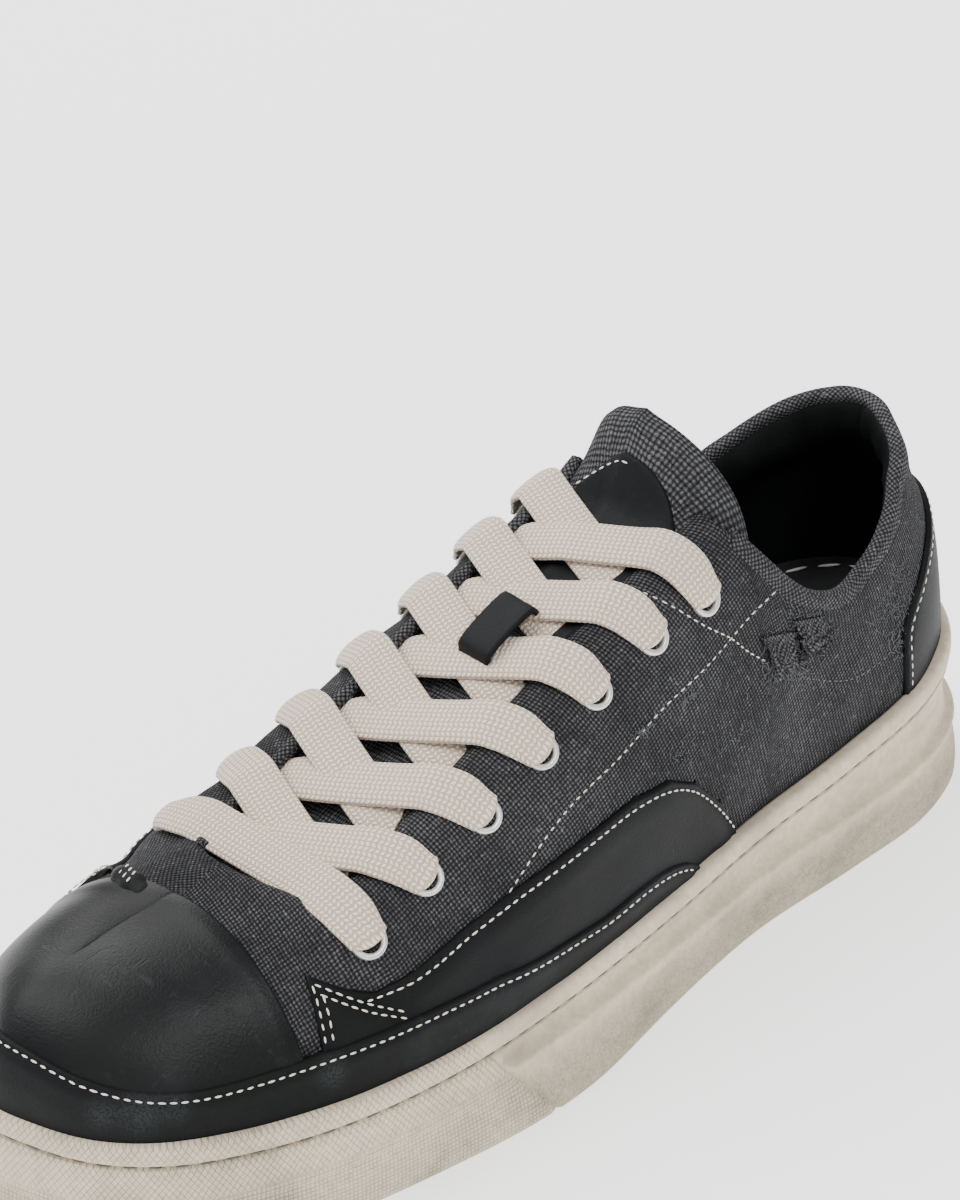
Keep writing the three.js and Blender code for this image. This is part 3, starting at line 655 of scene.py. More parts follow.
def joinForms(forms):
    bm = bmesh.new()
    for form in forms:
        mesh = bpy.data.meshes.new("form")
        form.to_mesh(mesh)
        form.free()
        bm.from_mesh(mesh)
        bpy.data.meshes.remove(mesh)
    return bm


def resample(line, spacing):
    length = runLength(line)
    count = max(int(length[-1] / spacing), 2)
    goal = np.linspace(0, length[-1], count + 1)
    return np.stack([np.interp(goal, length, line[:, k]) for k in range(line.shape[1])], -1)


def smoothLine(points, count):
    # a soft curve through a few points
    points = np.array(points, float)
    share = np.linspace(0, len(points) - 1, count)
    i = np.clip(np.floor(share).astype(int), 0, len(points) - 2)
    w = (share - i)[:, None]
    p1, p2 = points[i], points[i + 1]
    p0, p3 = points[np.maximum(i - 1, 0)], points[np.minimum(i + 2, len(points) - 1)]
    return 0.5 * ((2 * p1) + (p2 - p0) * w + (2 * p0 - 5 * p1 + 4 * p2 - p3) * w ** 2
                  + (3 * p1 - p0 - 3 * p2 + p3) * w ** 3)


# Camera at the photograph's angle
cameraLook = {"place": (-0.593906, -0.583210, 0.591730), "right": (0.70368, -0.71051, -0.00240),
              "up": (0.36489, 0.35848, 0.85927), "back": (-0.60966, -0.60553, 0.51152),
              "lens": 128.37, "sensor": 36, "clip": (0.01, 50)}
cameraData = bpy.data.cameras.new("camera")
cameraData.lens, cameraData.sensor_width = cameraLook["lens"], cameraLook["sensor"]
cameraData.clip_start, cameraData.clip_end = cameraLook["clip"]
camera = bpy.data.objects.new("camera", cameraData)
turn = Matrix([cameraLook[axis] for axis in ("right", "up", "back")]).transposed().to_4x4()
camera.matrix_world = Matrix.Translation(cameraLook["place"]) @ turn
bpy.context.scene.collection.objects.link(camera)
bpy.context.scene.camera = camera

# Cup sole
soleLook = {"columns": 640, "ridge": 17, "seam": -34.9, "ballFlare": 4.6, "heelFlare": 2.4, "toeSpring": 3.2,
            "heelSpring": 0.8, "cupWall": 4.3, "cupDepth": 11.5, "groove": 5.3,
            "centre": [(-150, 5), (0, -1), (150, 0)],
            # rows up the ridge: inset, share of the flare, share of the lip, height over its middle
            "ridgeRows": [(-0.15, -0.25, -0.1, -2.6), (0.0, -0.1, -0.5, -1.3), (0.05, 0, -1.25, -0.7),
                          (0.1, 0, -1.45, -0.1), (0.2, 0, -1.0, 0.5), (0.3, 0, 0.55, 1.1)]}


def centreRow(s, middle, back, front):
    # x and y of the points along the sole's middle that the rows run in to
    x = np.clip(np.interp(abs(s), abs(s[s >= 0]), middle[s >= 0]), back, front)
    return x, along(soleLook["centre"], x)


def makeSole():
    s = np.linspace(-1, 1, soleLook["columns"] + 1)
    ex, ey, nx, ny, middle = outlineAt(s)
    top = along(last["soleTop"], ex)
    ball = np.where(s < 0, 1.0, 0.4) * soleLook["ballFlare"] * bump(ex, -28, 34)
    flare = 0.5 + ball + soleLook["heelFlare"] * smooth(ex, 40, 140)
    toeLift, heelLift = np.maximum(0, (-108 - ex) / 42), np.maximum(0, (ex - 130) / 20)
    spring = soleLook["toeSpring"] * toeLift ** 2 + soleLook["heelSpring"] * heelLift ** 2
    ridge, groove = soleLook["ridge"], top - soleLook["groove"]
    lip = smooth(ex + ridge * 0.8, -35.6, -34.2)  # behind the slanted seam the ridge stands out
    x, y = centreRow(s, middle, -136, 136)
    rows = [np.stack([x, y, spring], -1)]

    def row(inset, height):
        level = np.mean(height)
        if level < ridge + 1:
            inset = inset + bump(ex + level * 0.8, soleLook["seam"], 0.8)
        rows.append(np.stack([ex - nx * inset, ey - ny * inset, height + 0 * ex], -1))

    for inset, rise in ((12, 0), (2, 0), (1.1, 0.3), (0.6, 1.4)):
        row(inset - flare, spring + rise)
    for share in np.arange(1, 7) / 6:
        inset = 0.6 - flare * (1 - 0.62 * share ** 1.3) - 0.3 * math.sin(share * math.pi) - 0.2 * share
        row(inset, between((1.4, ridge - 4), share) + spring * (1 - share))
    for inset, flareShare, lipShare, rise in soleLook["ridgeRows"]:
        row(inset + flareShare * flare + lipShare * lip, ridge + rise)
    for share in np.arange(1, 6) / 6:
        bow = math.sin(share * math.pi)
        inset = 0.45 + (0.75 + 0.85 * bow) * lip - 0.15 * bow * (1 - lip)
        row(inset, between((ridge + 1.1, groove - 1), share))
    for inset, rise in ((0.85, -0.9), (1.0, -0.6), (1.75, -0.45), (1.75, 0.45), (0.85, 0.6), (0.6, 1.0)):
        row(inset, groove + rise)
    for inset, fall in ((0.45, 3), (0.55, 1.4), (0.9, 0.5), (1.5, 0.1), (2.2, 0), (3.6, 0.05)):
        row(inset, top - fall)
    for fall in (0.4, 4, soleLook["cupDepth"]):
        row(soleLook["cupWall"], top - fall)
    rows.append(np.stack([x, y, top - soleLook["cupDepth"]], -1))
    points = np.stack(rows, 1)
    points[0] = points[-1] = (points[0] + points[-1]) / 2
    arc = runLength(np.stack([ex, ey], -1))
    uv = np.stack([np.repeat(arc[:, None], points.shape[1], 1), points[..., 2]], -1) / 1000
    addPiece("sole_cup", gridForm(points, uv, flip=True, join=True), rubber, ["sole"])


makeSole()
print("sole made")

# Footbed
footbedLook = {"inset": 7.2, "heelRise": 11, "heel": (-10, 80)}


def footbedRise(x):
    return footbedLook["heelRise"] * smooth(x, *footbedLook["heel"])


def makeFootbed():
    s = np.linspace(-1, 1, 241)
    ex, ey, nx, ny, middle = outlineAt(s)
    floor = along(last["soleTop"], ex) - soleLook["cupDepth"] + 0.3
    x, y = centreRow(s, middle, -130, 128)
    rows = [np.stack([x, y, floor], -1)]
    for inset, height in ((1, 0), (0, 0), (0, 3.6), (0.4, 4.5), (1.2, 5), (6, 4.8), (14, 4.2)):
        away = footbedLook["inset"] + inset
        heel = footbedRise(ex) * (height > 3)
        rows.append(np.stack([ex - nx * away, ey - ny * away, floor + height + heel], -1))
    rows.append(np.stack([x, y, floor + 4 + footbedRise(x)], -1))
    points = np.stack(rows, 1)
    bm = gridForm(points, lengthMap(points), flip=True, join=True)
    addPiece("footbed", bm, footbed, ["insole"])


makeFootbed()

# Canvas upper with its open throat and collar
upperLook = {"columns": 620, "rows": 64,
             "throatLateral": [(-83, 0), (-81.5, -9), (-79, -16), (-75, -20.5), (-68, -22.5), (48, -21),
                               (60, -21)],
             "throatMedial": [(-83, 0), (-81.5, 9), (-79, 14), (-75, 17.5), (-68, 19.5), (48, 19), (60, 19)]}


def isOpening(point):
    x, y, z = point[..., 0], point[..., 1], point[..., 2]
    collar = (x > 44) & (z > along(last["topline"], x))
    edge = np.where(y < 0, -np.interp(x, *np.array(upperLook["throatLateral"]).T),
                    np.interp(x, *np.array(upperLook["throatMedial"]).T))
    return collar | ((x > -83) & (x < 56) & (abs(y) < edge) & (z > 50))


def upperColumns(count):
    # columns crowd together where the throat begins
    s = np.linspace(-1, 1, count + 1)
    spread = s.copy()
    for centre in (-0.2, 0.2):
        spread = spread - 0.035 * np.sin(np.clip((s - centre) / 0.12, -1, 1) * math.pi)
    return np.sort(spread)


# The slit torn in the lateral quarter
holeLook = {"centre": (66.5, 67.4), "half": (5.5, 1.7), "turn": 0.35}


def holeShare(x, z):
    # 1 on the slit's ragged edge, less inside it
    cx, cz = holeLook["centre"]
    c, n = math.cos(holeLook["turn"]), math.sin(holeLook["turn"])
    u = ((x - cx) * c - (z - cz) * n) / holeLook["half"][0]
    v = ((x - cx) * n + (z - cz) * c) / holeLook["half"][1]
    angle = np.arctan2(v, u)
    return np.hypot(u, v) / (1 + 0.16 * np.sin(5 * angle + 1) + 0.1 * np.sin(11 * angle))


def makeUpper():
    s = upperColumns(upperLook["columns"])
    high = phiWhere(s, isOpening)
    low = phiOver(s, lambda x: along(last["soleTop"], x) - 5)
    shares = np.linspace(0, 1, upperLook["rows"] + 1)
    phi, total = evenRows(s, low, high, shares)
    wide = s[:, None] + 0 * phi
    isOpen = (high < math.pi / 2 - 1e-4)[:, None]
    toEdge = (1 - shares)[None, :] * total[:, None]
    points = skin(wide, phi, np.where(isOpen, 0.3 * bump(toEdge, 4, 3) - 0.9 * bump(toEdge, 0, 0.9), 0))
    dent = holeShare(points[..., 0], points[..., 2])
    nearHole = (points[..., 1] < 0) & (dent < 1.6)
    lift = np.where(nearHole, 0.9 * bump(dent, 1.05, 0.22), 0)
    points = points + lastNormal(wide, phi) * lift[..., None]

    def drop(centre):
        x, y, z = (c * 1000 for c in centre)
        return y < 0 and 50 < x < 80 and float(holeShare(x - last["shift"][0], z)) < 1

    bm = gridForm(points, lengthMap(points), flip=True, join=True, drop=drop)
    addPiece("upper_canvas", bm, canvas, ["upper"], wall=last["wall"])


makeUpper()

# Torn tongues of canvas over the slit: x, z, half width, fall, lift
flapLook = {"flaps": [(60.5, 75.0, 5.8, 9.0, 3.0), (70.5, 75.4, 5.6, 8.4, 3.0), (75.6, 71.0, 3.4, 6.5, 2.2),
                      (65.0, 61.8, 7.6, -5.0, 2.2)], "wall": 0.5}


def flapForm(x, z, half, fall, lift):
    # hangs from its top edge and folds outwards at its end
    side, down = np.meshgrid(np.linspace(-1, 1, 25), np.linspace(0, 1, 17), indexing="ij")
    ragged = 1 + 0.16 * np.sin(side * 7 + x) + 0.1 * np.sin(side * 17)
    reach = down * ragged * (1 - 0.45 * side ** 4)
    goalX, goalZ = x + side * half * (1 - 0.3 * down), z - fall * reach - 0.25 * half * side
    s, phi = atSide(-1, goalX.ravel(), goalZ.ravel())
    rise = 0.25 + lift * down ** 1.3 * (0.7 + 0.3 * np.sin(side * 5 + z))
    rise = rise - lift * 0.6 * smooth(down, 0.75, 1) * down
    rise = rise + 0.75 * np.sin(side * 8 + down * 7 + x) * np.sin(down * 10 + side * 3) * smooth(down, 0, 0.3)
    points = skin(s, phi, rise.ravel()).reshape(side.shape + (3,))
    return gridForm(points, lengthMap(points))


tornFlaps = joinForms(flapForm(*flap) for flap in flapLook["flaps"])
addPiece("torn_flaps", tornFlaps, canvasPale, wall=flapLook["wall"])
print("canvas upper made")

# Padded collar lining, from the rim down to the footbed
liningLook = {"start": 0.36, "pad": 4.2, "folds": 0.3, "inward": 2.5, "wall": 0.8}


def makeLining(name, s):
    shares = np.linspace(0, 1, 41)
    phi, total = evenRows(s, np.full(s.shape, 0.006), phiWhere(s, isOpening) - 0.004, shares)
    down = (1 - shares)[None, :] * total[:, None]
    rear = smooth(abs(s), 0.58, 0.72)[:, None]
    pad = liningLook["pad"] * bump(down, 9, 8) * rear
    folds = liningLook["folds"] * np.sin(s[:, None] * 150) * bump(down, 8, 6) * rear
    points = skin(s[:, None] + 0 * phi, phi, 1.2 * bump(down, 0, 1.2) - liningLook["inward"] - pad - folds)
    addPiece(name, gridForm(points, lengthMap(points)), lining, wall=liningLook["wall"])


liningColumns = np.linspace(-1, 1, 361)
makeLining("collar_lining_lateral", liningColumns[liningColumns < -liningLook["start"]])
makeLining("collar_lining_medial", liningColumns[liningColumns > liningLook["start"]])

# Canvas binding folded over the collar's rim
bindingLook = {"ends": 0.44, "reach": 3.8, "thick": 0.75, "crown": 1.7}


def makeBinding():
    # from the lateral throat corner round the heel to the medial one
    end = bindingLook["ends"]
    s = np.concatenate([np.linspace(-end, -1, 260), np.linspace(1, end, 260)[1:]])
    phi = phiWhere(s, isOpening)
    keep = lastPoint(s, phi)[:, 0] > 50
    s, phi = s[keep], phi[keep]
    top, normal = skin(s, phi, -last["wall"] / 2 - 0.3), lastNormal(s, phi)
    up = unit(np.cross(normal, unit(np.gradient(top, axis=0))))
    up = np.where(up[:, 2:3] < 0, -up, up)
    # round on top, flat on both sides
    turn = np.linspace(0, math.tau, 25)
    side = blunt(np.cos(turn), 0.7) * (last["wall"] / 2 + bindingLook["thick"])
    rise = np.where(np.sin(turn) > 0, np.sin(turn) * bindingLook["crown"],
                    blunt(np.sin(turn), 0.6) * bindingLook["reach"])
    wobble = 1 + 0.05 * np.sin(np.linspace(0, 60, len(s)))[:, None]
    section = np.stack([wobble * side, rise + 0 * wobble], -1)
    addPiece("collar_binding", sweepForm(top, normal, up, section), canvasPale)


makeBinding()

# Folded canvas edge along the medial side of the throat
rollLook = {"from": -80, "to": 46, "thick": 1.75}


def makeThroatRoll():
    x = np.linspace(rollLook["from"], rollLook["to"], 150)
    s, phi = atPlan(x, np.interp(x, *np.array(upperLook["throatMedial"]).T) + 0.2)
    section = roundSection(rollLook["thick"] + 0.12 * np.sin(x * 0.5), 16)
    addPiece("throat_roll", tubeForm(skin(s, phi, -0.9), lastNormal(s, phi), section), canvasPale)


makeThroatRoll()

# Rolled leather end where the medial quarter meets the toe cap: x, y, lift
knobLook = {"line": [(-99.5, 7, -0.6), (-98.6, 12, 0.6), (-97.4, 17, 1.2), (-95.6, 20.5, 0.9), (-93, 24, 0.1),
                     (-91, 26.5, -0.8)], "thick": 2.4, "taper": 1.3, "count": 70}


def makeKnob():
    line = smoothLine(knobLook["line"], knobLook["count"])
    s, phi = atPlan(line[:, 0], line[:, 1])
    share = np.linspace(0, 1, knobLook["count"])
    ends = np.clip(share * 9, 0, 1) ** 0.5 * np.clip((1 - share) * 9, 0, 1) ** 0.5
    thick = 0.1 + (knobLook["thick"] - knobLook["taper"] * smooth(share, 0.3, 0.9)) * ends
    section = roundSection(thick * (1 + 0.07 * np.sin(share * 31)), 20, 1.15, 0.8)
    bm = tubeForm(skin(s, phi, line[:, 2]), lastNormal(s, phi), section)
    addPiece("throat_knob", bm, smoothLeather)


makeKnob()

# Leather overlays: their top edges in the side view (x, z)
guardTop = [(-152, 47.5), (-143, 47), (-138, 43.5), (-130, 40.5), (-118, 39), (-95, 39), (-60, 39),
            (-36, 37.5), (-12, 36.2), (3, 37), (14, 36.2), (21, 34), (25.5, 31.2)]
sideTop = {
    "lateral": [(-93.5, 39), (-92.8, 42), (-89, 53), (-82, 48.6), (-76, 46.2), (-66, 47.6), (-52, 51),
                (-40, 53.6), (-14, 57.6), (4, 59.4), (16, 58.2), (26, 52.6), (36, 42), (43, 30)],
    "medial": [(-97, 39), (-96.1, 42), (-94, 54.5), (-87, 49), (-79, 46.6), (-65, 49.2), (-44, 53), (-26, 56),
               (-8, 58.4), (8, 57.4), (20, 50), (28, 40), (33, 29)],
}
counterTop = [(109.2, 35), (109.4, 52), (115.6, 62.2), (123, 68.5), (131, 73.5), (137, 76), (160, 77)]
overlayLook = {"roll": 0.9, "tuck": -0.1, "columns": 260, "rows": 30, "wall": 0.9}


def rollDown(away, out):
    # the height over the canvas at a distance from a rounded edge
    tuck, u = overlayLook["tuck"], np.clip(away / overlayLook["roll"], 0, 1)
    return tuck + (out - tuck) * np.sqrt(np.maximum(1 - (1 - u) ** 2, 0))


def ease(count):
    return 0.5 - 0.5 * np.cos(np.linspace(0, math.pi, count + 1))


def makePanel(name, node, material, s, low, high, out, relief, tips=True, rows=overlayLook["rows"]):
    # the top edge, and with tips both ends, roll down on to the canvas
    # relief: distance from the edge, width and height of each pressed line or swell
    phi = evenRows(s, low, np.maximum(high, low + 0.004), ease(rows))[0]
    wide = s[:, None] + 0 * phi
    base = lastPoint(wide, phi)
    edges = [base[::3, -1]] + ([base[0, ::3], base[-1, ::3]] if tips else [])
    away = np.min([distanceTo(base, edge) for edge in edges], axis=0)
    offset = rollDown(away, out) + sum(height * bump(away, centre, width) for centre, width, height in relief)
    points = skin(wide, phi, offset)
    bm = gridForm(points, lengthMap(points), flip=True)
    addPiece(name, bm, material, [node], wall=overlayLook["wall"])


def makeToeCap():
    def rear(y):
        return -96 - 3.5 * smooth(y, 0, 35) + 1.2 * np.cos(y * 0.06)

    ends = columnAt(-1, -96, 38), columnAt(1, -99, 38)
    shares = np.cos(np.linspace(0.12, math.pi - 0.12, 301))
    s = between(ends, (shares - shares[0]) / (shares[-1] - shares[0]))
    low = phiOver(s, lambda x: along(guardTop, x) - 2.5)
    high = np.maximum(phiWhere(s, lambda p: p[..., 0] > rear(p[..., 1])), low + 0.002)
    phi = evenRows(s, low, high, ease(44))[0]
    wide = s[:, None] + 0 * phi
    base = lastPoint(wide, phi)
    away = abs(rear(base[..., 1]) - base[..., 0])
    points = skin(wide, phi, rollDown(away, 1.35) + 0.35 * bump(away, 3.5, 2.2))
    bm = gridForm(points, lengthMap(points), flip=True, join=True)
    addPiece("toe_cap_leather", bm, toeLeather, ["toe_cap"], wall=overlayLook["wall"])


def makeMudguard():
    s = between((columnAt(-1, 25.5, 31), columnAt(1, 25.5, 31)), ease(520))
    low = phiOver(s, lambda x: along(last["soleTop"], x) - 3)
    high = phiOver(s, lambda x: along(guardTop, x))
    relief = [(3.4, 1.6, 0.25), (1.8, 0.6, -0.22)]
    makePanel("mudguard_leather", "mudguard", leather, s, low, high, 2.3, relief, tips=False, rows=26)


def makeSideOverlay(name, side):
    xs, zs = np.array(sideTop[name], float).T
    ends = np.sort([columnAt(side, xs[0], 40), columnAt(side, xs[-1], 31)])
    s = between(ends, ease(overlayLook["columns"]))
    low = phiOver(s, lambda x: np.where(x < 20, along(guardTop, x), along(last["soleTop"], x)) - 3)
    high = phiOver(s, lambda x: np.interp(x, xs, zs) - 6 * (1 - smooth(x, xs[0], xs[0] + 1.6)))
    relief = [(1.9, 0.7, -0.2), (5.5, 2.4, 0.25)]
    makePanel("side_leather_" + name, "side_overlay_" + name, smoothLeather, s, low, high, 1.35, relief)


def makeCounter():
    s = np.linspace(columnAt(1, 109.2, 38) - 2, columnAt(-1, 109.2, 38), 221)
    low = phiOver(s, lambda x: along(last["soleTop"], x) - 3)
    high = phiOver(s, lambda x: np.interp(x, *np.array(counterTop, float).T))
    makePanel("heel_counter_leather", "heel_counter", leather, s, low, high, 1.5, [(1.9, 0.7, -0.2)])


makeToeCap()
makeMudguard()
makeSideOverlay("lateral", -1)
makeSideOverlay("medial", 1)
makeCounter()
print("leather overlays made")

# Tongue
tongueLook = {"x": (-86, 52), "riseX": 34, "half": (23, 27), "rise": 10.5, "depth": 3.4, "thick": 3.0}


def tonguePoint(share, across, depth=0.0):
    # share runs up the tongue, across from -1 to 1 over it, and depth goes into it
    x = between(tongueLook["x"], share)
    ramp = smooth(x, tongueLook["riseX"], tongueLook["x"][1])
    lean = np.tanh(across * 2.5)
    lift = tongueLook["rise"] * ramp * (1 - (1.5 + 0.25 * lean) * across ** 2)
    y = across * between(tongueLook["half"], share) - 2.5 * ramp * np.maximum(-across, 0) ** 2
    s, phi = atPlan(x + (9.7 + 1.3 * lean) * ramp * across ** 2, y)
    wrinkle = 0.3 * np.sin(share * 34 + across * 2.5) * (1 - ramp) + 0.21 * np.sin(across * 9 + share * 11)
    sink = tongueLook["depth"] - 0.5 * ramp + throatSink(x, y)
    return lastPoint(s, phi) + lastNormal(s, phi) * (lift - sink + wrinkle - depth)[..., None]


def makeTongue():
    share, across = np.meshgrid(np.linspace(0, 1, 121), np.linspace(-1, 1, 61), indexing="ij")
    edge = np.minimum(1 - abs(across), (1 - share) * 2.2)
    points = tonguePoint(share, across, 0.9 * bump(edge, 0, 0.03))
    bm = gridForm(points, np.stack([across * 26, share * 150], -1) / 1000)
    addPiece("tongue_canvas", bm, tongueCanvas, ["tongue"], wall=tongueLook["thick"])


def patchShare(share, across):
    # where the leather patch lies on the tongue: its top edge bows and leans
    return 0.62 + 0.315 * share - (0.07 * across + 0.03) * across * share


def makeTonguePatch():
    # plain leather patch across the tongue under its top edge
    share, across = np.meshgrid(np.linspace(0, 1, 61), np.linspace(-1, 1, 61), indexing="ij")
    edge = np.minimum(1 - abs(across), np.minimum(share, 1 - share)) * 20
    points = tonguePoint(patchShare(share, across), across * 0.86, -rollDown(edge, 1.0))
    addPiece("tongue_patch", gridForm(points, lengthMap(points)), smoothLeather, wall=0.7)


makeTongue()
makeTonguePatch()
print("tongue made")

# Eyelets
eyeletLook = {"count": 7, "x": (-73, 37.5), "lateral": (-33.5, -30.8), "medial": (30, 26.5), "rim": 4.25,
              "bore": 2.85, "lift": 0.35, "crown": 0.7, "steps": 36}


def eyeletPlace(side, index):
    share = index / (eyeletLook["count"] - 1)
    return between(eyeletLook["x"], share), between(eyeletLook[side], share)


def makeEyelet(side, index):
    x, y = eyeletPlace(side, index)
    s, phi = atPlan([x], [y])
    place, normal = skin(s, phi)[0], lastNormal(s, phi)[0]
    rim, bore, lift, crown = (eyeletLook[key] for key in ("rim", "bore", "lift", "crown"))
    profile = [(bore, -2.6), (bore, lift + crown * 0.3)]
    for turn in np.linspace(0, math.pi, 9):
        radius = between((bore, rim), 0.5 - 0.5 * math.cos(turn))
        profile.append((radius, lift + crown * (0.35 + 0.65 * math.sin(turn))))
    profile += [(rim, -0.3), (bore + 0.5, -0.5), (bore + 0.5, -2.6), (bore, -2.6)]
    bm = bmesh.new()
    verts = [bm.verts.new((r / 1000, 0, h / 1000)) for r, h in profile]
    edges = [bm.edges.new(pair) for pair in zip(verts[:-1], verts[1:])]
    bmesh.ops.spin(bm, geom=verts + edges, cent=(0, 0, 0), axis=(0, 0, 1), angle=math.tau,
                   steps=eyeletLook["steps"], use_merge=True)
    bmesh.ops.remove_doubles(bm, verts=bm.verts[:], dist=0.000002)
    bmesh.ops.recalc_face_normals(bm, faces=bm.faces[:])
    aim = Vector(normal).to_track_quat("Z", "Y").to_matrix().to_4x4()
    bmesh.ops.transform(bm, matrix=Matrix.Translation(toFrame(place)) @ aim, verts=bm.verts[:])
    tag = side + "_" + str(index + 1)
    addPiece("eyelet_ring_" + tag, bm, silverMetal, ["eyelet_" + tag])


for sideName in ("lateral", "medial"):
    for number in range(eyeletLook["count"]):
        makeEyelet(sideName, number)
print("eyelets made")

# Flat lace: each strand runs over the throat and turns down into its eyelet
laceLook = {"width": 11.8, "thick": 2.1, "ring": 28, "turn": 1.3, "overTongue": 1.35,
            "overStays": (1.35, 2.0), "edges": (22.0, 19.5), "atEyelet": 2.2, "underStay": -3.7}


def laceSection(width, crown):
    # flat band with round edges; crown bends its sides down
    turn = np.linspace(0, math.tau, laceLook["ring"] + 1)
    side, rise = blunt(np.cos(turn), 0.55), blunt(np.sin(turn), 0.75) * laceLook["thick"] / 2
    return np.stack([side * width[:, None] / 2, rise - crown[:, None] * side ** 2], -1)


def onSkin(x, y, lift):
    s, phi = atPlan([x], [y])
    return skin(s, phi, lift)[0]


def tautOver(share, heights):
    # heights of a strand pulled tight over the given heights, its ends kept
    kept = [0]
    for k in range(1, len(share)):
        while len(kept) > 1:
            a, b = kept[-2], kept[-1]
            riseB, riseK = heights[b] - heights[a], heights[k] - heights[a]
            if riseB * (share[k] - share[a]) > riseK * (share[b] - share[a]):
                break
            kept.pop()
        kept.append(k)
    return np.interp(share, share[kept], heights[kept])


def withTail(rows):
    # rows of a strand's point, side, normal, width and crown; the last one goes on down through its eyelet
    end = rows[-1]
    flow, normal = unit(end[:3] - rows[-3, :3]), end[6:9]
    steps = np.linspace(0, 1, 16)[1:]
    bend, isRound, radius = np.minimum(steps * 2.2, 1) * math.pi / 2, steps * 2.2 < 1, laceLook["turn"]
    forward = np.where(isRound, np.sin(bend) * radius, radius)
    fall = np.where(isRound, (1 - np.cos(bend)) * radius, radius + (steps - 1 / 2.2) * 6)
    tail = np.repeat(rows[-1:], len(steps), 0)
    tail[:, :3] += flow * forward[:, None] - normal * fall[:, None]
    tail[:, 9] *= 1 - 0.42 * smooth(steps, 0.1, 0.7)
    tail[:, 10] *= 1 - 0.3 * steps
    return np.concatenate([rows, tail])


def laceStrand(start, finish, over=0.0, bow=0.0, bothEnds=False):
    # start and finish: x, y, height over the skin; over lifts the middle onto the strand below
    share = np.linspace(0, 1, 90)
    a, b = onSkin(*start), onSkin(*finish)
    path = a + (b - a) * share[:, None]
    path[:, 0] += bow * 4 * share * (1 - share)
    x, y = path[:, 0], path[:, 1]
    s, phi = atPlan(x, y)
    normal = lastNormal(s, phi)
    edge = np.where(y < 0, *laceLook["edges"])
    starts = 0 if bothEnds else 1 - smooth(share, 0.4, 0.5)
    lower = 2.4 * smooth(abs(y) - edge, -7, -1) * starts
    onTongue = laceLook["overTongue"] - tongueLook["depth"] - throatSink(x, y) - lower
    onTongue = onTongue + over * (1 - smooth(abs(y), 9, 16))
    heights = lastPoint(s, phi)[:, 2] + onTongue / normal[:, 2]
    beyond = (abs(y) > edge - 1) & (starts < 0.5)
    onStay = skin(s, phi)[:, 2] + np.where(y < 0, *laceLook["overStays"]) / normal[:, 2]
    heights = np.where(beyond, np.maximum(heights, onStay), heights)
    heights[0], heights[-1] = a[2], b[2]
    tight = tautOver(share, heights)
    kernel = np.hanning(11) / np.hanning(11).sum()
    path[:, 2] = np.convolve(np.pad(tight, 5, mode="reflect", reflect_type="odd"), kernel, mode="valid")
    inside = (1 - smooth(abs(y), 12, 28))[:, None]
    normal = unit(normal * (1 - inside) + lastNormal(*atPlan(x, 0 * y)) * inside)
    across = unit(np.cross(normal, unit(np.gradient(path, axis=0))))
    length = runLength(path)
    end = bump(length, length[-1], 4.2) + (bump(length, 0, 4.2) if bothEnds else 0)
    width, crown = laceLook["width"] * (1 - 0.17 * end), 0.3 + 0.8 * end
    rows = withTail(np.column_stack([path, across, normal, width, crown]))
    if bothEnds:
        rows = withTail(rows[::-1])[::-1]
    path, across = rows[:, :3], rows[:, 3:6]
    up = unit(np.cross(unit(np.gradient(path, axis=0)), across))
    return sweepForm(path, across, up, laceSection(rows[:, 9], rows[:, 10]))


def toward(point, goal):
    # a little off the eyelet's middle, on the side that the strand comes from
    way = np.array(goal) - np.array(point)
    return (*(np.array(point) + way / np.linalg.norm(way) * 0.4), laceLook["atEyelet"])


def makeLace():
    count = eyeletLook["count"]
    lateral, medial = ([eyeletPlace(side, k) for k in range(count)] for side in ("lateral", "medial"))
    pitch = lateral[1][0] - lateral[0][0]
    bar = laceStrand(toward(lateral[0], medial[0]), toward(medial[0], lateral[0]), bothEnds=True)
    for k in range(1, count):
        fromLateral, fromMedial = (lateral[k][0] - pitch * 0.98, -27), (medial[k][0] - pitch * 1.06, 25)
        under = laceStrand((*fromLateral, laceLook["underStay"]), toward(medial[k], fromLateral), 0, -0.8)
        over = laceStrand((*fromMedial, laceLook["underStay"]), toward(lateral[k], fromMedial), 2.1, -2.2)
        strands = [bar, under, over] if k == 1 else [under, over]
        addPiece("lace_row_" + str(k), joinForms(strands), laceCotton, ["lace_crossing_" + str(k)])


makeLace()
print("lace made")

# Leather keeper on the tongue that the fifth row runs through
keeperLook = {"y": -6, "half": 5.2, "wall": 1.1,
              "lifts": [(-19, -3.0), (-15.2, -2.2), (-14.2, 2.8), (-12.5, 4.9), (-6, 5.4), (0.6, 4.9),
                        (2.4, 2.8), (3.2, -2.4), (6, -3.0)]}


def makeKeeper():
    line = smoothLine(keeperLook["lifts"], 60)
    across = np.linspace(-1, 1, 13)[None]
    x = line[:, :1] + 0 * across
    y = keeperLook["y"] + keeperLook["half"] * across + 0 * x
    s, phi = atPlan(x, y)
    rise = line[:, 1:] - 0.25 * across ** 4 - throatSink(x, y) * 0.92 - 0.6
    points = lastPoint(s, phi) + lastNormal(s, phi) * rise[..., None]
    bm = gridForm(points, lengthMap(points))
    addPiece("keeper_leather", bm, smoothLeather, ["lace_keeper"], wall=keeperLook["wall"])


makeKeeper()

# Stitches
stitchLook = {"pitch": 2.45, "length": 1.75, "thick": 0.5}


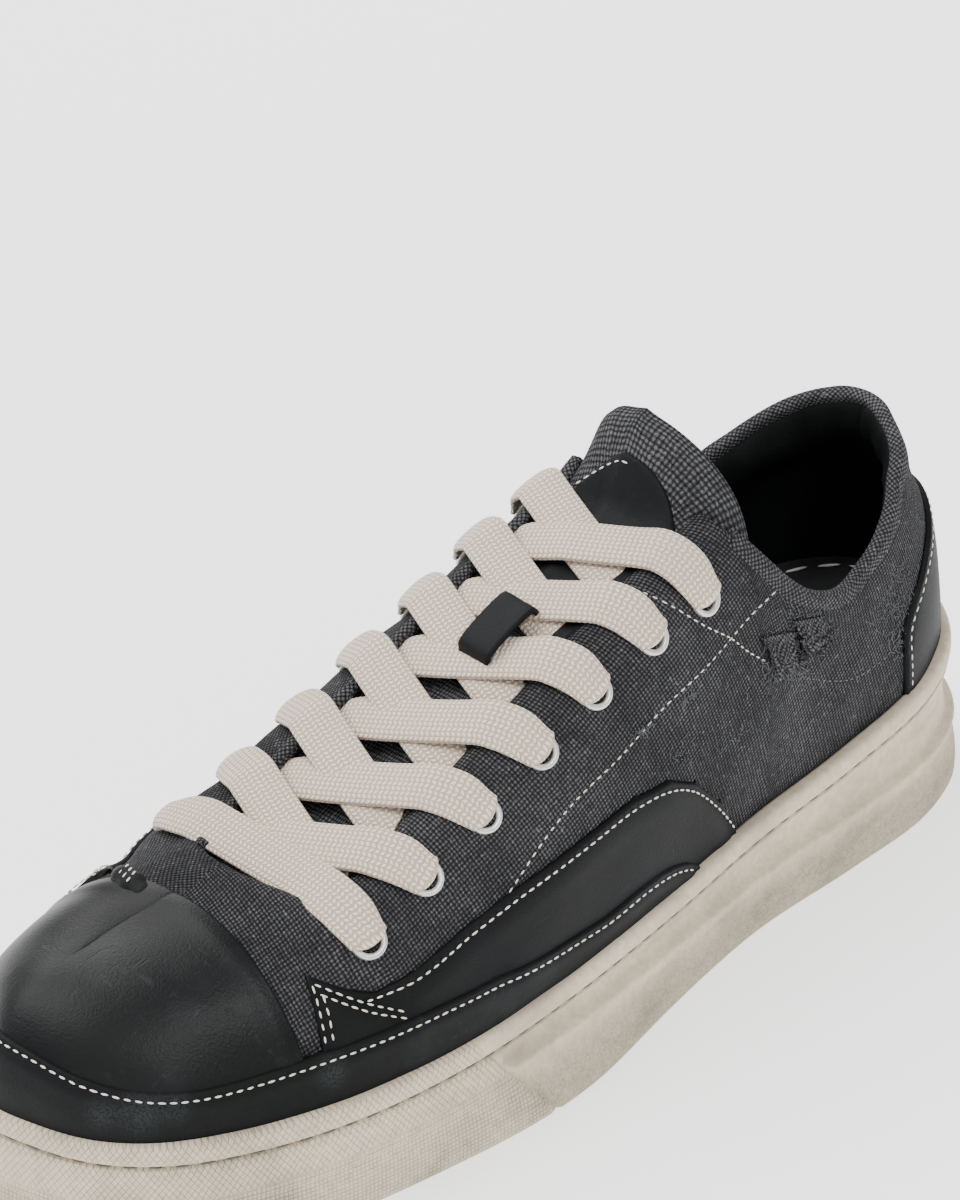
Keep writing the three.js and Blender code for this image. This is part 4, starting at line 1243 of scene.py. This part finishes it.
def makeStitches(name, lines, material, pitch=stitchLook["pitch"], length=stitchLook["length"],
                 thick=stitchLook["thick"]):
    # lines: point and normal arrays; each dash is a small closed bead lying along its line
    template = bmesh.new()
    bmesh.ops.create_uvsphere(template, u_segments=8, v_segments=6, radius=0.5)
    mesh = bpy.data.meshes.new("bead")
    template.to_mesh(mesh)
    template.free()
    bm = bmesh.new()
    for points, normals in lines:
        rows = resample(np.concatenate([points, normals], 1), pitch)
        for a, b in zip(rows[:-1], rows[1:]):
            middle, way, normal = (a[:3] + b[:3]) / 2, unit(b[:3] - a[:3]), unit(a[3:] + b[3:])
            side = unit(np.cross(normal, way))
            turn = Matrix((way, side, np.cross(way, side))).transposed().to_4x4()
            size = length * random.uniform(0.88, 1.08)
            scale = Matrix.Diagonal((size / 1000, thick / 1000, thick * 0.85 / 1000, 1))
            tilt = Matrix.Rotation(random.uniform(-0.07, 0.07), 4, "Z")
            before = len(bm.verts)
            bm.from_mesh(mesh)
            bm.verts.ensure_lookup_table()
            matrix = Matrix.Translation(toFrame(middle)) @ turn @ tilt @ scale
            bmesh.ops.transform(bm, matrix=matrix, verts=bm.verts[before:])
    bpy.data.meshes.remove(mesh)
    addPiece(name, bm, material)


def stitchLine(s, phi, offset):
    return skin(s, phi, offset), lastNormal(s, phi)


def sideLine(side, points, offset, count=60):
    line = smoothLine(points, count)
    s, phi = atSide(side, line[:, 0], line[:, 1])
    return stitchLine(s, phi, offset)


def keeperStitches():
    x, y = np.full(20, -17.2), np.linspace(-10.6, -1.4, 20)
    s, phi = atPlan(x, y)
    normal = lastNormal(s, phi)
    return [(lastPoint(s, phi) - normal * (1.6 + throatSink(x, y)[:, None] * 0.92), normal)]


def guardStitches():
    s = np.linspace(columnAt(-1, 23, 31.5), columnAt(1, 23, 31.5), 500)
    return [stitchLine(s, phiOver(s, lambda x: along(guardTop, x) - 1.9), 2.35)]


def pointStitches():
    # two rows round each of the four points over the mudguard
    lines = []
    for shift in (0, 1.8):
        lines += [
            (-1, [(-88.6 + shift * 0.55, 50.7 - shift), (-90.4 + shift, 45), (-91.8 + shift, 40)], 20),
            (-1, [(-88.4, 50.7 - shift), (-80, 45.2 - shift), (-71.5, 40.6 - shift * 0.8)], 30),
            (1, [(-95.6 + shift * 0.5, 52.8 - shift), (-97.4 + shift, 46), (-98.6 + shift, 40.4)], 20),
            (1, [(-94.6, 52.6 - shift), (-86, 46.6 - shift), (-77, 40.6 - shift * 0.8)], 30),
        ]
    return [sideLine(side, points, 1.75, count) for side, points, count in lines]


# Stitch lines in the side view: side, points (x, z)
sideSeams = {
    "overlays": [(-1, [(-79.5, 45.2), (-74, 45.2), (-66, 46), (-52, 49.2), (-40, 51.8), (-14, 55.8),
                       (4, 57.4), (15, 56.2), (24.5, 51.2), (34, 41.5), (40.5, 32.8)]),
                 (1, [(-80, 45.1), (-65, 47.6), (-44, 51.3), (-26, 54.2), (-8, 56.6), (7.4, 55.6),
                      (18.5, 48.8), (26.5, 39.4), (31, 31.5)])],
    "eyestays": [(-1, [(-37.6, 53.8), (-17, 65), (9, 72.4), (21, 76.3), (43.4, 81.4), (54.6, 84.6),
                       (63, 87.1)]),
                 (1, [(-33, 51.7), (-12, 64), (12, 75), (36, 84), (55, 90)]),
                 (-1, [(22.6, 99.8), (29, 93.8), (35.5, 87.7), (44, 81), (50, 75), (56, 69.8)]),
                 (1, [(20, 94.6), (35, 84), (48, 73), (61, 61.7)])],
    "collar": [(side, [(68, 60.6), (78, 54.9), (89, 50.7), (101, 50.4), (109, 52)]) for side in (-1, 1)],
    "counter": [(side, [(111.2, 38), (111.4, 51.6), (117, 60.7), (124, 66.7), (131.6, 71.6), (137, 74)])
                for side in (-1, 1)],
}


def seamLines(seam, offset):
    return [sideLine(side, points, offset) for side, points in sideSeams[seam]]


def counterStitches():
    # up both sides of the counter and across the heel's back
    s = np.linspace(columnAt(1, 137, 74) - 2, columnAt(-1, 137, 74), 60)
    points = skin(s, phiOver(s, lambda x: 74 + 1.4 * smooth(x, 137, 143)), 1.6)
    return seamLines("counter", 1.6) + [(points, lastNormal(s, phiOver(s, lambda x: 74)))]


def grooveStitches():
    ex, ey, nx, ny = outlineAt(np.linspace(-1, 1, 900))[:4]
    height = along(last["soleTop"], ex) - soleLook["groove"]
    points = np.stack([ex - nx * 1.25, ey - ny * 1.25, height], -1)
    return [(points, np.stack([nx, ny, 0 * nx], -1))]


def footbedStitches():
    ex, ey, nx, ny = outlineAt(np.linspace(0.5, 1.0, 120))[:4]
    height = along(last["soleTop"], ex) - soleLook["cupDepth"] + 5.7 + footbedRise(ex)
    points = np.stack([ex - nx * 13.2, ey - ny * 13.2, height], -1)
    return [(points, np.stack([-nx * 0.7, -ny * 0.7, 0.7 + 0 * nx], -1))]


def patchStitches():
    side, low = np.full(60, 0.79), np.linspace(0.79, -0.1, 60)
    lines = [tonguePoint(patchShare(np.linspace(0.60, 0.985, 60), side), side, -1.2),
             tonguePoint(patchShare(0.96, low), low, -1.2)]
    return [(line, np.array([-0.35, 0.1, 0.93]) + 0 * line) for line in lines]


def knobStitches():
    lines = []
    for x, y in [(-100.4, 12.5), (-99.6, 14.5), (-98.8, 16.5)]:
        s, phi = atPlan(np.linspace(x, x + 4.4, 12), np.linspace(y, y + 1.2, 12))
        lines.append(stitchLine(s, phi, 2.9))
    return lines


makeStitches("stitches_keeper", keeperStitches(), whiteThread, 1.5, 1.5, 0.7)
makeStitches("stitches_mudguard", guardStitches(), whiteThread)
makeStitches("stitches_side", seamLines("overlays", 1.7), whiteThread)
makeStitches("stitches_points", pointStitches(), whiteThread)
makeStitches("stitches_eyestay", seamLines("eyestays", 0.15), whiteThread, 2.4, 1.5, 0.42)
makeStitches("stitches_collar", seamLines("collar", 0.1), looseThread, 2.2, 1.3, 0.36)
makeStitches("stitches_counter", counterStitches(), whiteThread, 2.4, 1.6, 0.42)
makeStitches("stitches_sole", grooveStitches(), darkThread, 5.6, 3.6, 0.55)
makeStitches("stitches_patch", patchStitches(), whiteThread)
makeStitches("stitches_knob", knobStitches(), whiteThread, 2.0, 1.7, 0.5)
makeStitches("stitches_footbed", footbedStitches(), whiteThread, 8.5, 6.2, 0.8)
print("stitches made")

# Frayed threads: side, middle in the side view (x, z), count, spread, reach
frayLook = {"radius": 0.075, "spots": [
    (-1, 66, 69, 150, 11, 2.0), (-1, 60, 66, 60, 5, 2.4), (-1, 74, 70, 60, 4, 2.4), (-1, 58, 66, 30, 5, 2.0),
    (-1, 73, 74, 40, 5, 2.0), (-1, 66, 62, 40, 5, 1.8), (-1, 107, 62, 90, 9, 2.0), (-1, 110, 52, 60, 6, 2.0),
    (-1, 108, 70, 44, 5, 2.2), (-1, 22, 62, 24, 5, 1.4), (-1, 42, 56, 24, 6, 1.4), (-1, 10, 88, 30, 4, 1.6),
    (-1, 26, 83, 24, 4, 1.4), (1, 60, 70, 60, 7, 2.0), (1, 20, 66, 24, 5, 1.6)]}


def frayForm(start, normal, reach):
    # a short curled thread that leaves the cloth along one of four directions of the weave
    turn = random.choice((0.3, 1.87, 3.44, 5.01)) + random.gauss(0, 0.5)
    flow = unit(np.cross(normal, (0, 0, 1)))
    way = flow * math.cos(turn) + np.cross(normal, flow) * math.sin(turn)
    size = reach * random.uniform(0.5, 1.3)
    curl = random.uniform(-0.7, 0.7)
    share = np.linspace(0, 1, 7)[:, None]
    lift = 4 * share * (1 - share) * random.uniform(0.05, 0.3) + share * random.uniform(-0.1, 0.5)
    path = start + way * size * share + np.cross(normal, way) * curl * size * 0.5 * share ** 2 + normal * lift
    return tubeForm(path, normal, roundSection(np.full(len(path), frayLook["radius"]), 5))


def frayForms():
    for side, middleX, middleZ, count, spread, reach in frayLook["spots"]:
        xs = np.array([middleX + random.gauss(0, spread * 0.5) for k in range(count)])
        zs = np.array([middleZ + random.gauss(0, spread * 0.35) for k in range(count)])
        # none starts above the collar's rim
        s, phi = atSide(side, xs, np.minimum(zs, 80 - 0.1 * abs(middleX - 80)))
        for start, normal in zip(skin(s, phi, 0.1), lastNormal(s, phi)):
            yield frayForm(start, normal, reach)


addPiece("frayed_threads", joinForms(frayForms()), looseThread)
print("frays made")

# Floor and soft studio light
floorFinish = Finish("floor_pale", roughness=0.9, specular=0.1)
floorTone = floorFinish.noise(1.5, 2)
floorFinish.paint(floorFinish.mix(floorTone * 0.3, (0.93, 0.93, 0.925, 1), (0.91, 0.91, 0.905, 1)))
floorFinish.shader.inputs["Emission Color"].default_value = (1, 1, 1, 1)
floorFinish.shader.inputs["Emission Strength"].default_value = 1.1
floorMesh = bpy.data.meshes.new("floor")
floorForm = bmesh.new()
bmesh.ops.create_grid(floorForm, x_segments=2, y_segments=2, size=6)
floorForm.to_mesh(floorMesh)
floorForm.free()
floorMesh.materials.append(floorFinish.material)
floor = bpy.data.objects.new("floor", floorMesh)
bpy.context.scene.collection.objects.link(floor)

shoeMiddle = Vector((0, 0, 0.04))
lightLook = {
    "key": {"kind": "SUN", "place": (-0.35, 0.75, 1.25), "size": math.radians(55), "power": 3.2},
    "fill": {"kind": "SUN", "place": (-0.9, -0.9, 1.0), "size": math.radians(70), "power": 0.85},
    "strip": {"kind": "AREA", "place": (-0.04, -0.72, 1.02), "size": 0.2, "power": 5.0},
    "rim": {"kind": "AREA", "place": (0.6, 1.1, 0.9), "size": 0.7, "power": 7.0},
}
for name, look in lightLook.items():
    data = bpy.data.lights.new(name, look["kind"])
    data.energy = look["power"]
    if look["kind"] == "SUN":
        data.angle = look["size"]
    else:
        data.shape, data.size = "DISK", look["size"]
    light = bpy.data.objects.new(name, data)
    aim = (shoeMiddle - Vector(look["place"])).to_track_quat("-Z", "Y").to_matrix().to_4x4()
    light.matrix_world = Matrix.Translation(look["place"]) @ aim
    bpy.context.scene.collection.objects.link(light)
world = bpy.data.worlds.new("studio")
world.use_nodes = True
sky = world.node_tree.nodes["Background"]
sky.inputs["Color"].default_value, sky.inputs["Strength"].default_value = (1.0, 1.0, 1.0, 1), 0.62
bpy.context.scene.world = world
print("studio made")

bpy.context.view_layer.update()
